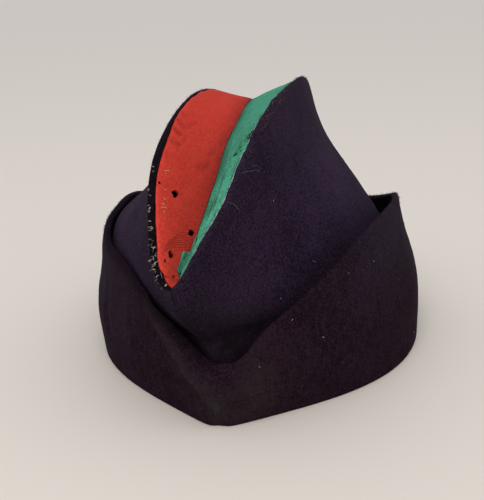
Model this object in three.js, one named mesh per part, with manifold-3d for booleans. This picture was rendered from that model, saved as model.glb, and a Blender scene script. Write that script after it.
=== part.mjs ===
// Side cap of wool felt: two navy side panels, a red and green gusset folded down between
// them, and a navy curtain turned up around the rim, lower at the front.
// Millimetres, +Z up. The front is -Y, the wearer's left is +X, and the rim stands on z = 0.

import * as THREE from "three";
import { mergeVertices } from "three/addons/utils/BufferGeometryUtils.js";
import Module from "manifold-3d";

const wasm = await Module();
wasm.setup();

// Felt thicknesses, and the gaps left where pieces are sewn together
const PANEL_FELT = 2.0;
const PANEL_HEM = 3.0;
const GUSSET_FELT = 1.8;
const CURTAIN_FELT = 2.4;
const SEAM_GAP = 0.4;

// The gusset is sewn in a little below the panels' folded top edges, and rolls over towards them
const GUSSET_DROP = 2.2;
const GUSSET_ROLL = 1.5;
const GUSSET_LEAST_WIDTH = 0.9;

// The gusset's seam opens wider towards the tips of the crest
const TIP_GAP = { extra: 4, sharpness: 6 };

// Moves the middle of the cap over the origin
const STAND = { x: 1.7, y: 5.15 };

// How finely each sheet is divided
const PANEL_STEPS = { along: 36, up: 15, hem: 3 };
const GUSSET_STEPS = { across: 6 };
const CURTAIN_STEPS = { around: 74, up: 9 };
const END_SPREAD = 0.03;

// Level lines of the crown, from the rim up to the crest. Each is an oval in plan:
// width is its half-width, front and back how far it reaches along -Y and +Y, mid the y of
// its widest place, nose and tail how full its ends are (1 is a V, 2 an ellipse, more is blunt)
// and round the radius of the rounded end. Its height runs from zFront over zSide to zBack, and
// climb says how quickly it leaves the front (and the back, where climbBack says nothing else).
// fill rounds off the bottom of a dip at the front.
// The lean columns are the slump towards the wearer's right, the drop columns say how much lower
// the line lies on that side, and tuck how far that side is drawn in near the front (or out, below 0).
// swells are low humps of the line on one side: each at a cosine of the angle, over a reach, dying
// away at the two seams.
const CROWN_LINES = [
  { line: "rim", width: 83.8, front: 100.9, back: 102.8, mid: 6, nose: 1.1, tail: 2.0, round: 7,
    zFront: 0, zSide: 0, zBack: 0, climb: 1, leanSide: -1 },
  { line: "wall", width: 79.5, front: 95.5, back: 100, mid: 6, nose: 1.15, tail: 2.0, round: 6,
    zFront: 36, zSide: 30, zBack: 24, climb: 1.5, leanFront: -5, leanSide: -2.5, tuck: 2 },
  { line: "fold", width: 71.5, front: 107.8, back: 97, mid: 8, nose: 1.05, tail: 1.9, round: 4,
    zFront: 41.5, zSide: 56, zBack: 44, climb: 1.5, leanFront: -9.5, leanSide: -4.5, tuck: 2.8,
    swells: [{ side: -1, at: 0.1, reach: 0.4, aside: -2, up: 10 }] },
  { line: "shoulder", width: 58.5, front: 113.5, back: 97, mid: 10, nose: 1.15, tail: 1.7, round: 4,
    zFront: 53, zSide: 80, zBack: 57, climb: 1.3, leanFront: -12, leanSide: -6, tuck: 2 },
  { line: "neck", width: 36, front: 116, back: 101, mid: 2, nose: 1.7, tail: 1.8, round: 3,
    zFront: 62, zSide: 108, zBack: 65, climb: 1.1, leanFront: -14, leanSide: -2.5,
    dropFront: 6, dropSide: 2, tuck: 2.4,
    swells: [
      { side: 1, at: 0.52, reach: 0.38, aside: -1.3, up: 1.7 },
      { side: 1, at: -0.42, reach: 0.35, aside: 0, up: 1.6 },
    ] },
  { line: "crest", width: 26, front: 117, back: 104, mid: -6, nose: 3.0, tail: 2.4,
    zFront: 69, zSide: 138.5, zBack: 71, climb: 1, leanFront: -14.5, leanSide: -3.5,
    dropFront: 14, dropSide: 4, tuck: 3.4,
    swells: [
      { side: 1, at: 0.52, reach: 0.38, aside: -2.6, up: 3 },
      { side: 1, at: -0.42, reach: 0.35, aside: 0, up: 3 },
      { side: 1, at: 0.94, reach: 0.1, aside: 5, up: -2 },
    ] },
];

// Bottom of the gusset's fold, where its two halves meet
const VALLEY = { line: "valley", width: 0, front: 110, back: 98, mid: -6, nose: 2, tail: 2,
  zFront: 69, zSide: 130, zBack: 71, climb: 3.2, leanFront: -13.5, leanSide: -1 };

// Level lines of the curtain, from the rim to its top edge
const CURTAIN_LINES = [
  { line: "rim", width: 87, front: 106.5, back: 106.5, mid: 6, nose: 1.05, tail: 2.0, round: 9,
    zFront: 0, zSide: 0, zBack: 0, climb: 1, leanSide: -1 },
  { line: "belly", width: 87.5, front: 108, back: 106.5, mid: 8, nose: 1.1, tail: 2.0, round: 9,
    zFront: 10, zSide: 28, zBack: 22, climb: 1.6, leanSide: -2 },
  { line: "waist", width: 82, front: 107.5, back: 104, mid: 11, nose: 1.15, tail: 1.9, round: 9,
    zFront: 18.5, zSide: 53, zBack: 42, climb: 1.4, climbBack: 2, fill: 2, leanFront: 0.5, leanSide: -3.5,
    tuck: -2.6 },
  { line: "edge", width: 79, front: 107, back: 102, mid: 13.6, nose: 1.18, tail: 1.6, round: 9,
    zFront: 26, zSide: 75.5, zBack: 56.5, climb: 1.25, climbBack: 4.6, fill: 4.5, leanFront: 0.7, leanSide: -5.8,
    dropSide: 6, tuck: -2.8 },
];

// What a line is where its row says nothing: not rounded or filled, not leaning, alike on both sides
const PLAIN_LINE = { round: 0, fill: 0, leanFront: 0, leanSide: 0, dropFront: 0, dropSide: 0, tuck: 0, swells: [] };

// The tuck is deepest where the sine squared of a line's angle has this value
const TUCK_PLACE = 0.2;

// How much fuller an oval's flanks are than its ends
const FULLNESS = 0.7;

// Moth holes in the gusset: along its length from the front, across from the fold to the edge
const RED_HOLES = [
  { along: 0.19, across: 0.61, size: 3.0 },
  { along: 0.155, across: 0.14, size: 3.0 },
  { along: 0.07, across: 0.55, size: 2.6 },
];
const GREEN_HOLES = [
  { along: 0.273, across: 0.731, size: 2.6 },
];
const HOLE_SIDES = 8;
const HOLE_DEPTH = 8;

const COLOURS = { navy: 0x221a2c, red: 0xa5352a, green: 0x3f8a70 };
const FELT_ROUGHNESS = 0.95;

// Which directions a felt's thickness may take: anywhere, along a seam's plane, along the floor
const ANYWHERE = new THREE.Vector3(1, 1, 1);
const IN_SEAM = new THREE.Vector3(0, 1, 1);
const ON_FLOOR = new THREE.Vector3(1, 1, 0);
const LEAST_STRETCH = 0.4;

// How much of a line's tuck there is at a place: 1 at its deepest, 0 at the front tip and behind
function tuckShare(c, s) {
  if (c < 0) return 0;
  const bell = (place) => place * (1 - place) ** (1 / TUCK_PLACE - 1);
  return bell(s * s) / bell(TUCK_PLACE);
}

// A point of a level line. angle runs from 0 at the front to pi at the back, side is +1 or -1.
function linePoint(row, angle, side) {
  const line = { ...PLAIN_LINE, ...row };
  const c = Math.cos(angle);
  const s = Math.sin(angle);
  const ahead = c > 0;
  const reach = ahead ? line.front + line.mid : line.back - line.mid;
  const power = (ahead ? line.nose : line.tail) + FULLNESS * s * s;
  const plain = Math.max(0, 1 - Math.abs(c) ** power) ** (1 / power);
  const span = Math.max(0, line.width - line.round) * plain;
  const full = Math.sqrt(span * span + 2 * line.round * span);
  const across = side < 0 ? full - line.tuck * tuckShare(c, s) : full;
  const zEnd = ahead ? line.zFront : line.zBack;
  const climb = ahead ? line.climb : line.climbBack ?? line.climb;
  const leanEnd = ahead ? line.leanFront : 0;
  const dropEnd = ahead ? line.dropFront : 0;
  const lean = line.leanSide + (leanEnd - line.leanSide) * c * c;
  const drop = line.dropSide + (dropEnd - line.dropSide) * c * c;
  const lower = side < 0 ? drop * plain : 0;
  const rise = (line.zSide - zEnd) * s ** climb;
  const z = zEnd + (ahead ? Math.hypot(rise, line.fill * c) : rise) - lower;
  const point = new THREE.Vector3(lean + side * across, line.mid - c * reach, z);
  line.swells.forEach((swell) => {
    const hump = side === swell.side ? (1 - c ** 4) * Math.exp(-(((c - swell.at) / swell.reach) ** 2)) : 0;
    point.x += swell.aside * hump;
    point.z += swell.up * hump;
  });
  return point;
}

// Spaces the stations so that the tight ends of an oval aren't crowded
function stationAngle(fraction) {
  return Math.PI * (fraction + END_SPREAD * Math.sin(2 * Math.PI * fraction));
}

// A column of points from the lowest level line to the highest
function loft(lines, angle, side, steps) {
  const points = lines.map((line) => linePoint(line, angle, side));
  return new THREE.CatmullRomCurve3(points, false, "catmullrom", 0.5).getPoints(steps);
}

// Outward normals of a grid of points; closed says that its columns run all the way round
function gridNormals(grid, outward, closed) {
  const count = grid.length;
  return grid.map((column, i) => column.map((point, j) => {
    const before = closed ? (i + count - 1) % count : Math.max(0, i - 1);
    const after = closed ? (i + 1) % count : Math.min(count - 1, i + 1);
    const along = new THREE.Vector3().subVectors(grid[after][j], grid[before][j]);
    const low = column[Math.max(0, j - 1)];
    const high = column[Math.min(column.length - 1, j + 1)];
    const up = new THREE.Vector3().subVectors(high, low);
    return along.cross(up).normalize().multiplyScalar(outward);
  }));
}

// The point one felt thickness behind a point, in the directions that the mask leaves free
function behind(point, normal, thickness, mask) {
  const way = normal.clone().multiply(mask).normalize();
  const stretch = Math.max(LEAST_STRETCH, way.dot(normal));
  return point.clone().addScaledVector(way, -thickness / stretch);
}

// Joins an outer and an inner grid into one closed solid
function sheetSolid(outer, inner, closed, flip) {
  const columns = outer.length;
  const rows = outer[0].length;
  const positions = [];
  [outer, inner].forEach((grid) => grid.flat().forEach((p) => positions.push(p.x, p.y, p.z)));
  const at = (layer, i, j) => layer * columns * rows + (i % columns) * rows + j;
  const triangles = [];
  const quad = (a, b, c, d) => {
    if (flip) triangles.push(a, c, b, a, d, c);
    else triangles.push(a, b, c, a, c, d);
  };
  const spans = closed ? columns : columns - 1;
  const top = rows - 1;
  for (let i = 0; i < spans; i += 1) {
    for (let j = 0; j < top; j += 1) {
      quad(at(0, i, j), at(0, i + 1, j), at(0, i + 1, j + 1), at(0, i, j + 1));
      quad(at(1, i, j), at(1, i, j + 1), at(1, i + 1, j + 1), at(1, i + 1, j));
    }
    quad(at(0, i, 0), at(1, i, 0), at(1, i + 1, 0), at(0, i + 1, 0));
    quad(at(0, i, top), at(0, i + 1, top), at(1, i + 1, top), at(1, i, top));
  }
  if (!closed) {
    const last = columns - 1;
    for (let j = 0; j < top; j += 1) {
      quad(at(0, 0, j), at(0, 0, j + 1), at(1, 0, j + 1), at(1, 0, j));
      quad(at(0, last, j), at(1, last, j), at(1, last, j + 1), at(0, last, j + 1));
    }
  }
  const geometry = new THREE.BufferGeometry();
  geometry.setAttribute("position", new THREE.Float32BufferAttribute(positions, 3));
  geometry.setIndex(triangles);
  return geometry;
}

function feltMesh(name, geometry, colour) {
  geometry.computeVertexNormals();
  const look = { color: colour, roughness: FELT_ROUGHNESS, metalness: 0 };
  const mesh = new THREE.Mesh(geometry, new THREE.MeshStandardMaterial(look));
  mesh.name = name;
  return mesh;
}

// One side panel as grids: outer face, its normals, and inner face. The felt is folded double
// along the top edge, and the two panels' end faces meet in the plane of the front and back seams.
function panelSheet(side) {
  const outer = [];
  for (let i = 0; i <= PANEL_STEPS.along; i += 1) {
    const angle = stationAngle(i / PANEL_STEPS.along);
    outer.push(loft(CROWN_LINES, angle, side, PANEL_STEPS.up));
  }
  const normals = gridNormals(outer, side, false);
  const last = outer.length - 1;
  const inner = outer.map((column, i) => column.map((point, j) => {
    const seam = i === 0 || i === last;
    const normal = normals[i][j].clone();
    if (seam && j === 0) normal.setZ(0).normalize();
    const foot = j === 0 ? ON_FLOOR : ANYWHERE;
    const fold = THREE.MathUtils.smoothstep(j, PANEL_STEPS.up - PANEL_STEPS.hem, PANEL_STEPS.up);
    const felt = THREE.MathUtils.lerp(PANEL_FELT, PANEL_HEM, fold);
    return behind(point, normal, felt, seam ? IN_SEAM : foot);
  }));
  const part = (point) => point.setX(point.x + side * SEAM_GAP / 2);
  [outer, inner].forEach((grid) => [grid[0], grid[last]].forEach((column) => column.forEach(part)));
  return { outer, normals, inner };
}

function sidePanel(name, side) {
  const { outer, inner } = panelSheet(side);
  return feltMesh(name, sheetSolid(outer, inner, false, side < 0), COLOURS.navy);
}

// One half of the gusset as grids, from the bottom of the fold up to the panel's folded edge
function gussetSheet(side) {
  const panel = panelSheet(side);
  const top = PANEL_STEPS.up;
  const upper = [];
  const edgeWays = [];
  for (let i = 0; i <= PANEL_STEPS.along; i += 1) {
    const angle = stationAngle(i / PANEL_STEPS.along);
    const bottom = linePoint(VALLEY, angle, side);
    const rim = panel.inner[i][top];
    const down = new THREE.Vector3().subVectors(panel.inner[i][top - 1], rim).normalize();
    const gap = SEAM_GAP * (1 + TIP_GAP.extra * Math.cos(angle) ** TIP_GAP.sharpness);
    const edge = rim.clone().addScaledVector(panel.normals[i][top], -gap);
    edge.addScaledVector(down, GUSSET_DROP);
    if (side * (edge.x - bottom.x) < GUSSET_LEAST_WIDTH) continue;
    bottom.x += side * SEAM_GAP / 2;
    const column = [];
    for (let k = 0; k <= GUSSET_STEPS.across; k += 1) {
      const out = k / GUSSET_STEPS.across;
      const point = bottom.clone().lerp(edge, out);
      point.z = bottom.z + (edge.z - bottom.z) * (1 - (1 - out) ** GUSSET_ROLL);
      column.push(point);
    }
    upper.push(column);
    edgeWays.push(down);
  }
  const normals = gridNormals(upper, -side, false);
  const lower = upper.map((column, i) => column.map((point, k) => {
    const out = k / GUSSET_STEPS.across;
    const way = new THREE.Vector3(0, 0, -1).lerp(edgeWays[i], out);
    way.addScaledVector(normals[i][k], -Math.sin(Math.PI * out)).normalize();
    const stretch = Math.max(LEAST_STRETCH, -way.dot(normals[i][k]));
    return point.clone().addScaledVector(way, GUSSET_FELT / stretch);
  }));
  return { upper, normals, lower };
}

function toSolid(geometry) {
  const plain = geometry.clone();
  plain.deleteAttribute("normal");
  plain.deleteAttribute("uv");
  const merged = mergeVertices(plain);
  const vertProperties = merged.attributes.position.array;
  const triVerts = new Uint32Array(merged.index.array);
  return new wasm.Manifold(new wasm.Mesh({ numProp: 3, vertProperties, triVerts }));
}

function toGeometry(solid) {
  const mesh = solid.getMesh();
  const geometry = new THREE.BufferGeometry();
  geometry.setAttribute("position", new THREE.BufferAttribute(mesh.vertProperties, 3));
  geometry.setIndex(new THREE.BufferAttribute(mesh.triVerts, 1));
  return geometry;
}

// Reads a grid between its points, at fractions of its length and width
function gridAt(grid, along, across) {
  const u = along * (grid.length - 1);
  const v = across * (grid[0].length - 1);
  const i = Math.min(Math.floor(u), grid.length - 2);
  const j = Math.min(Math.floor(v), grid[0].length - 2);
  const near = grid[i][j].clone().lerp(grid[i][j + 1], v - j);
  const far = grid[i + 1][j].clone().lerp(grid[i + 1][j + 1], v - j);
  return near.lerp(far, u - i);
}

function gussetHalf(name, side, colour, holes) {
  const { upper, normals, lower } = gussetSheet(side);
  let solid = toSolid(sheetSolid(upper, lower, false, side > 0));
  holes.forEach((hole) => {
    const punch = new THREE.CylinderGeometry(hole.size / 2, hole.size / 2, HOLE_DEPTH, HOLE_SIDES);
    const axis = gridAt(normals, hole.along, hole.across).normalize();
    punch.applyQuaternion(new THREE.Quaternion().setFromUnitVectors(new THREE.Vector3(0, 1, 0), axis));
    const place = gridAt(upper, hole.along, hole.across);
    punch.translate(place.x, place.y, place.z);
    solid = solid.subtract(toSolid(punch));
  });
  return feltMesh(name, toGeometry(solid), colour);
}

// The curtain is one band all the way round
function curtain() {
  const outer = [];
  const half = CURTAIN_STEPS.around / 2;
  for (let i = 0; i < CURTAIN_STEPS.around; i += 1) {
    const side = i <= half ? 1 : -1;
    const steps = i <= half ? i : CURTAIN_STEPS.around - i;
    outer.push(loft(CURTAIN_LINES, stationAngle(steps / half), side, CURTAIN_STEPS.up));
  }
  const normals = gridNormals(outer, 1, true);
  const inner = outer.map((column, i) => column.map((point, j) => {
    const foot = j === 0 ? ON_FLOOR : ANYWHERE;
    return behind(point, normals[i][j], CURTAIN_FELT, foot);
  }));
  return feltMesh("curtain", sheetSolid(outer, inner, true, false), COLOURS.navy);
}

const cap = new THREE.Group();
cap.name = "side_cap";
cap.add(
  sidePanel("side_panel_left", 1),
  sidePanel("side_panel_right", -1),
  gussetHalf("gusset_red", -1, COLOURS.red, RED_HOLES),
  gussetHalf("gusset_green", 1, COLOURS.green, GREEN_HOLES),
  curtain(),
);
cap.position.set(STAND.x, STAND.y, 0);

export default cap;
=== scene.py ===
# %% [markdown]
# # A felt side cap
# The cap is five pieces of thick wool felt: two navy side panels that meet in a seam at the
# front and the back, a red and a green gusset half folded down between them, and a navy curtain
# turned up around the rim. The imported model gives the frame, and every piece made here takes the
# place of one of its plain solids, in the same place and in metres.

import math

import bpy
import numpy as np
from mathutils import Matrix, Vector, noise
from mathutils.bvhtree import BVHTree


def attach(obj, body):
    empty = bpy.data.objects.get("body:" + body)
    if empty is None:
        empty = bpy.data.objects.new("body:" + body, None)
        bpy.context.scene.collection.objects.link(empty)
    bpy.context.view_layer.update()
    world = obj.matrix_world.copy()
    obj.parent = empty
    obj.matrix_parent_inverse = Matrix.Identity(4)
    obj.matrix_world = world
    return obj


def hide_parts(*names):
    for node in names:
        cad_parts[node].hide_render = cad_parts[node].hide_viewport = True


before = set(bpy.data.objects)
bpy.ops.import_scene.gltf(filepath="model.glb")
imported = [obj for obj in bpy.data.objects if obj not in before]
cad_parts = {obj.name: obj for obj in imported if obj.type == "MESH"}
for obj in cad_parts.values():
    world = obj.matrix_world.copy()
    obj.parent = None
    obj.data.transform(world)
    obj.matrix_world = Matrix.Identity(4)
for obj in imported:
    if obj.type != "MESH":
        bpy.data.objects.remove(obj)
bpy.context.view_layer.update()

# %% [markdown]
# ## The camera
# The photograph looks down on the cap from the front, a little from the wearer's left, and is
# tipped by two degrees. A camera is turned in three steps here, first up from the floor, then
# round the cap, then about its own line of sight, so that each number can be changed alone.

# %% Camera
VIEW = {"round": 12, "down": 18, "tip": -2}
CAMERA_PLACE = (0.08422, -0.42540, 0.191)
LENS_MM = 61.2
VIEW_END = 200

bpy.ops.object.select_all(action="DESELECT")
bpy.ops.object.camera_add()
camera = bpy.context.object
camera.name = "camera"
camera.data.lens = LENS_MM
camera.data.clip_end = VIEW_END
turn = (
    Matrix.Rotation(math.radians(VIEW["round"]), 4, "Z")
    @ Matrix.Rotation(math.radians(90 - VIEW["down"]), 4, "X")
    @ Matrix.Rotation(math.radians(VIEW["tip"]), 4, "Z")
)
camera.matrix_world = Matrix.Translation(CAMERA_PLACE) @ turn
bpy.context.scene.camera = camera
print("camera at", [round(v, 3) for v in camera.location])

# %% [markdown]
# ## The cap's level lines
# A soft cap has no straight edges, so its form is drawn as a boat's hull is: by level lines, one
# above the other, and a smooth sheet passed through them. Each row is one line, in millimetres.
# It is an oval in plan with its own width, reach to the front and back, fullness of its ends,
# and height at the front, side and back. The lean is the slump towards the wearer's right.

# %% Line tables
MM = 0.001
STAND = (1.7, 5.15, 0)
FULLNESS = 0.7
END_SPREAD = 0.03
TUCK_PLACE = 0.2
PLAIN_LINE = dict(round=0, fill=0, lean_front=0, lean_side=0, drop_front=0, drop_side=0, tuck=0,
                  swells=())
CROWN_LINES = [
    dict(line="rim", width=83.8, front=100.9, back=102.8, mid=6, nose=1.1, tail=2.0, round=7,
         z_front=0, z_side=0, z_back=0, climb=1, lean_side=-1),
    dict(line="wall", width=79.5, front=95.5, back=100, mid=6, nose=1.15, tail=2.0, round=6,
         z_front=36, z_side=30, z_back=24, climb=1.5, lean_front=-5, lean_side=-2.5, tuck=2),
    dict(line="fold", width=71.5, front=107.8, back=97, mid=8, nose=1.05, tail=1.9, round=4,
         z_front=41.5, z_side=56, z_back=44, climb=1.5, lean_front=-9.5, lean_side=-4.5, tuck=2.8,
         swells=[dict(side=-1, at=0.1, reach=0.4, aside=-2, up=10)]),
    dict(line="shoulder", width=58.5, front=113.5, back=97, mid=10, nose=1.15, tail=1.7, round=4,
         z_front=53, z_side=80, z_back=57, climb=1.3, lean_front=-12, lean_side=-6, tuck=2),
    dict(line="neck", width=36, front=116, back=101, mid=2, nose=1.7, tail=1.8, round=3,
         z_front=62, z_side=108, z_back=65, climb=1.1, lean_front=-14, lean_side=-2.5,
         drop_front=6, drop_side=2, tuck=2.4,
         swells=[dict(side=1, at=0.52, reach=0.38, aside=-1.3, up=1.7),
                 dict(side=1, at=-0.42, reach=0.35, aside=0, up=1.6)]),
    dict(line="crest", width=26, front=117, back=104, mid=-6, nose=3.0, tail=2.4,
         z_front=69, z_side=138.5, z_back=71, climb=1, lean_front=-14.5, lean_side=-3.5,
         drop_front=14, drop_side=4, tuck=3.4,
         swells=[dict(side=1, at=0.52, reach=0.38, aside=-2.6, up=3),
                 dict(side=1, at=-0.42, reach=0.35, aside=0, up=3),
                 dict(side=1, at=0.94, reach=0.1, aside=5, up=-2)]),
]
VALLEY = dict(line="valley", width=0, front=110, back=98, mid=-6, nose=2, tail=2,
              z_front=69, z_side=130, z_back=71, climb=3.2, lean_front=-13.5, lean_side=-1)
CURTAIN_LINES = [
    dict(line="rim", width=87, front=106.5, back=106.5, mid=6, nose=1.05, tail=2.0, round=9,
         z_front=0, z_side=0, z_back=0, climb=1, lean_side=-1),
    dict(line="belly", width=87.5, front=108, back=106.5, mid=8, nose=1.1, tail=2.0, round=9,
         z_front=10, z_side=28, z_back=22, climb=1.6, lean_side=-2),
    dict(line="waist", width=82, front=107.5, back=104, mid=11, nose=1.15, tail=1.9, round=9,
         z_front=18.5, z_side=53, z_back=42, climb=1.4, climb_back=2, fill=2, lean_front=0.5,
         lean_side=-3.5, tuck=-2.6),
    dict(line="edge", width=79, front=107, back=102, mid=13.6, nose=1.18, tail=1.6, round=9,
         z_front=26, z_side=75.5, z_back=56.5, climb=1.25, climb_back=4.6, fill=4.5,
         lean_front=0.7, lean_side=-5.8, drop_side=6, tuck=-2.8),
]
print(len(CROWN_LINES), "lines in the crown,", len(CURTAIN_LINES), "in the curtain")

# %% [markdown]
# ## From lines to a sheet
# `level_line` gives points of one line, and `felt_point` passes a smooth curve up through all of
# them. A place on a sheet is then two numbers: along, from the front seam to the back, and up,
# from the rim to the top edge. Side is +1 for the wearer's left and -1 for the right.


# %% Points on the sheets
def level_line(row, angle, side):
    line = {**PLAIN_LINE, "climb_back": row["climb"], **row}
    c, s = np.cos(angle), np.abs(np.sin(angle))
    ahead = c > 0
    right = side < 0
    reach = np.where(ahead, line["front"] + line["mid"], line["back"] - line["mid"])
    power = np.where(ahead, line["nose"], line["tail"]) + FULLNESS * s * s
    plain = np.maximum(0, 1 - np.abs(c) ** power) ** (1 / power)
    span = max(0, line["width"] - line["round"]) * plain
    across = np.sqrt(span * span + 2 * line["round"] * span)
    bell = s * s * (1 - s * s) ** (1 / TUCK_PLACE - 1)
    deepest = TUCK_PLACE * (1 - TUCK_PLACE) ** (1 / TUCK_PLACE - 1)
    across = across - np.where(right & ahead, line["tuck"] * bell / deepest, 0)
    lean_end = np.where(ahead, line["lean_front"], 0)
    lean = line["lean_side"] + (lean_end - line["lean_side"]) * c * c
    drop_end = np.where(ahead, line["drop_front"], 0)
    drop = line["drop_side"] + (drop_end - line["drop_side"]) * c * c
    z_end = np.where(ahead, line["z_front"], line["z_back"])
    climb = np.where(ahead, line["climb"], line["climb_back"])
    rise = (line["z_side"] - z_end) * s**climb
    z = z_end + np.where(ahead, np.hypot(rise, line["fill"] * c), rise)
    z = z - np.where(right, drop * plain, 0)
    x = lean + side * across
    for swell in line["swells"]:
        hump = (1 - c**4) * np.exp(-(((c - swell["at"]) / swell["reach"]) ** 2))
        hump = np.where(side == swell["side"], hump, 0)
        x = x + swell["aside"] * hump
        z = z + swell["up"] * hump
    return np.stack([x, line["mid"] - c * reach, z], -1)


def station_angle(along):
    return np.pi * (along + END_SPREAD * np.sin(2 * np.pi * along))


def in_frame(points):
    return (points + np.array(STAND)) * MM


def felt_point(lines, along, up, side):
    along, up = np.broadcast_arrays(np.asarray(along, float), np.asarray(up, float))
    angle = station_angle(along)
    rows = [level_line(row, angle, side) for row in lines]
    rows = np.stack([2 * rows[0] - rows[1], *rows, 2 * rows[-1] - rows[-2]])
    place = np.clip(up, 0, 1) * (len(lines) - 1)
    low = np.minimum(place.astype(int), len(lines) - 2)
    w = (place - low)[..., None]
    a, b, c, d = (np.take_along_axis(rows, (low + k)[None, ..., None], 0)[0] for k in range(4))
    near = b * (1 + 2 * w) * (1 - w) ** 2 + (c - a) / 2 * w * (1 - w) ** 2
    far = c * w * w * (3 - 2 * w) + (d - b) / 2 * w * w * (w - 1)
    return in_frame(near + far)


top_front = felt_point(CROWN_LINES, np.array([0.0]), np.array([1.0]), 1)[0]
print("front tip of the crest in mm:", (top_front / MM).round(1))

# %% [markdown]
# ## Helpers for working as by hand
# Blender's operators act on what is selected and active, so each helper first clears the
# selection. A modifier is applied as soon as it is added: what is left is a plain mesh.


# %% Helpers
def take(piece):
    bpy.ops.object.select_all(action="DESELECT")
    piece.select_set(True)
    bpy.context.view_layer.objects.active = piece


def modify(piece, kind, **settings):
    take(piece)
    bpy.ops.object.modifier_add(type=kind)
    modifier = piece.modifiers[-1]
    for setting, value in settings.items():
        setattr(modifier, setting, value)
    bpy.ops.object.modifier_apply(modifier=modifier.name)


def corners(piece):
    places = np.empty(len(piece.data.vertices) * 3)
    piece.data.vertices.foreach_get("co", places)
    return places.reshape(-1, 3)


def move_corners(piece, places):
    piece.data.vertices.foreach_set("co", np.asarray(places, float).ravel())
    piece.data.update()


def outward(piece):
    ways = np.empty(len(piece.data.vertices) * 3, np.float32)
    piece.data.vertex_normals.foreach_get("vector", ways)
    return ways.reshape(-1, 3).astype(float)


def paint(piece, **layers):
    for name, values in layers.items():
        layer = piece.data.attributes.new(name, "FLOAT", "POINT")
        layer.data.foreach_set("value", np.asarray(values, np.float32))


def flat_sheet(name, along_steps, up_steps):
    bpy.ops.object.select_all(action="DESELECT")
    bpy.ops.mesh.primitive_grid_add(x_subdivisions=along_steps, y_subdivisions=up_steps, size=1)
    piece = bpy.context.object
    piece.name = name
    piece.data.name = name
    flat = corners(piece)
    return piece, flat[:, 0] + 0.5, flat[:, 1] + 0.5


def turn_over(piece):
    take(piece)
    bpy.ops.object.mode_set(mode="EDIT")
    bpy.ops.mesh.select_all(action="SELECT")
    bpy.ops.mesh.flip_normals()
    bpy.ops.object.mode_set(mode="OBJECT")


def surface_of(piece):
    piece.data.calc_loop_triangles()
    triangles = [tuple(t.vertices) for t in piece.data.loop_triangles]
    return BVHTree.FromPolygons([v.co for v in piece.data.vertices], triangles)


print("helpers ready")

# %% [markdown]
# ## Unevenness of felt
# Felt is pressed, not woven, and after years of wear it is never quite even. A few sizes of smooth
# noise move each point of a sheet some tenths of a millimetre along its normal. Creases and ridges
# are drawn as lines on the sheet, and lift or sink the felt beside them. Where an effect begins
# and ends is said with soft steps, so that nothing on the felt has a hard border.


# %% Waves, ridges and steps
def smooth_step(value, low, high):
    t = np.clip((value - low) / (high - low), 0, 1)
    return t * t * (3 - 2 * t)


def fade(value, low, high):
    return 1 - smooth_step(value, low, high)


def window(value, rise, fall):
    """0 before the rise, 1 after it and 0 again after the fall; each is a pair of places."""
    return smooth_step(value, *rise) * fade(value, *fall)


def bell(value, at, reach):
    """1 at one place, falling off to both sides of it over the reach."""
    return np.exp(-(((value - at) / reach) ** 2))


def waves(places, size_mm, seed):
    spots = places / (size_mm * MM) + seed
    return np.array([noise.noise(Vector(spot)) for spot in spots])


def layered_waves(places, layers, seed):
    """Waves on waves; each layer has a height and a size in mm, and a number added to the seed."""
    return sum(height * waves(places, size, seed + more) for height, size, more in layers)


def near_line(spots, line, width):
    """How near each flat spot is to a bent line: 1 on it, falling off over the width."""
    best = np.full(len(spots), np.inf)
    for start, end in zip(line[:-1], line[1:]):
        a, way = np.array(start, float), np.subtract(end, start)
        t = np.clip((spots - a) @ way / (way @ way), 0, 1)
        best = np.minimum(best, np.linalg.norm(spots - a - t[:, None] * way, axis=1))
    return bell(best, 0, width)


print("noise at one spot:", round(noise.noise(Vector((0.3, 0.2, 0.1))), 4))

# %% [markdown]
# ## The side panels
# Each side of the crown is one piece of felt, sewn to the other at the front and the back. It
# could be sculpted, but a flat grid moved onto the level lines keeps even faces and a clean edge.
# Solidify gives the thickness: full on the panel, more along the top where the felt is folded
# double, and pared to a mitre where the two panels meet. Dust, wear and stains are painted on the
# corners here, because the places where they gather are known from the same two numbers. Painted
# shade darkens the front fold under the crown's overhang, and painted light brightens patches on
# the middle of the right panel and the back of the left one.

# %% Side panels
PANEL_GRID = (128, 64)
PANEL_FELT = 2.0
PANEL_HEM = {1: 2.2, -1: 3.0}
PANEL_WAVES = [(0.45, 34, 0), (0.22, 11, 7)]
PANEL_SETTLE = 0.2
HEM_START = 0.8
HEM_TAPER = {"from": 0.29, "to": 0.38, "left": 0.5}
SEAM_GAP = 0.08
SEAM_SINK = 0.2
SEAM_REACH = 1.8
SEAM_STIFF = 12
MITRE_LEAST = 0.3
MITRE_STEEPEST = 0.05
CREST_UNEVEN = {1: 1.5, -1: 0.4}
CREST_WAVE = (5, 13)
CREST_SMOOTHER = 0.7
FOLD_EASE = 0.85
FOLD_UP = (0.4, 0.14)
FOLD_STEPS = (-0.12, -0.06, 0, 0.06, 0.12)
NOSE_SINK = 2.6
NOSE_REACH = 8
NOSE_UP = (0.42, 0.14)
BAND_START = 0.984
BAND_WIDER = 0.02
BAND_SOFT = 0.01
RUBBED_LINE = dict(below=0.014, reach=0.011)
PANEL_PAINT = dict(soil=0.85, stain=0.6, crest=0.25, painted_light={1: 0.75, -1: 0.6}, rubbed=1.5)


def hem_share(along, side):
    """How much of the folded top edge there is: on the right it gets thinner towards the top."""
    if side > 0:
        return np.ones_like(along)
    return 1 - (1 - HEM_TAPER["left"]) * smooth_step(along, HEM_TAPER["from"], HEM_TAPER["to"])


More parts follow.
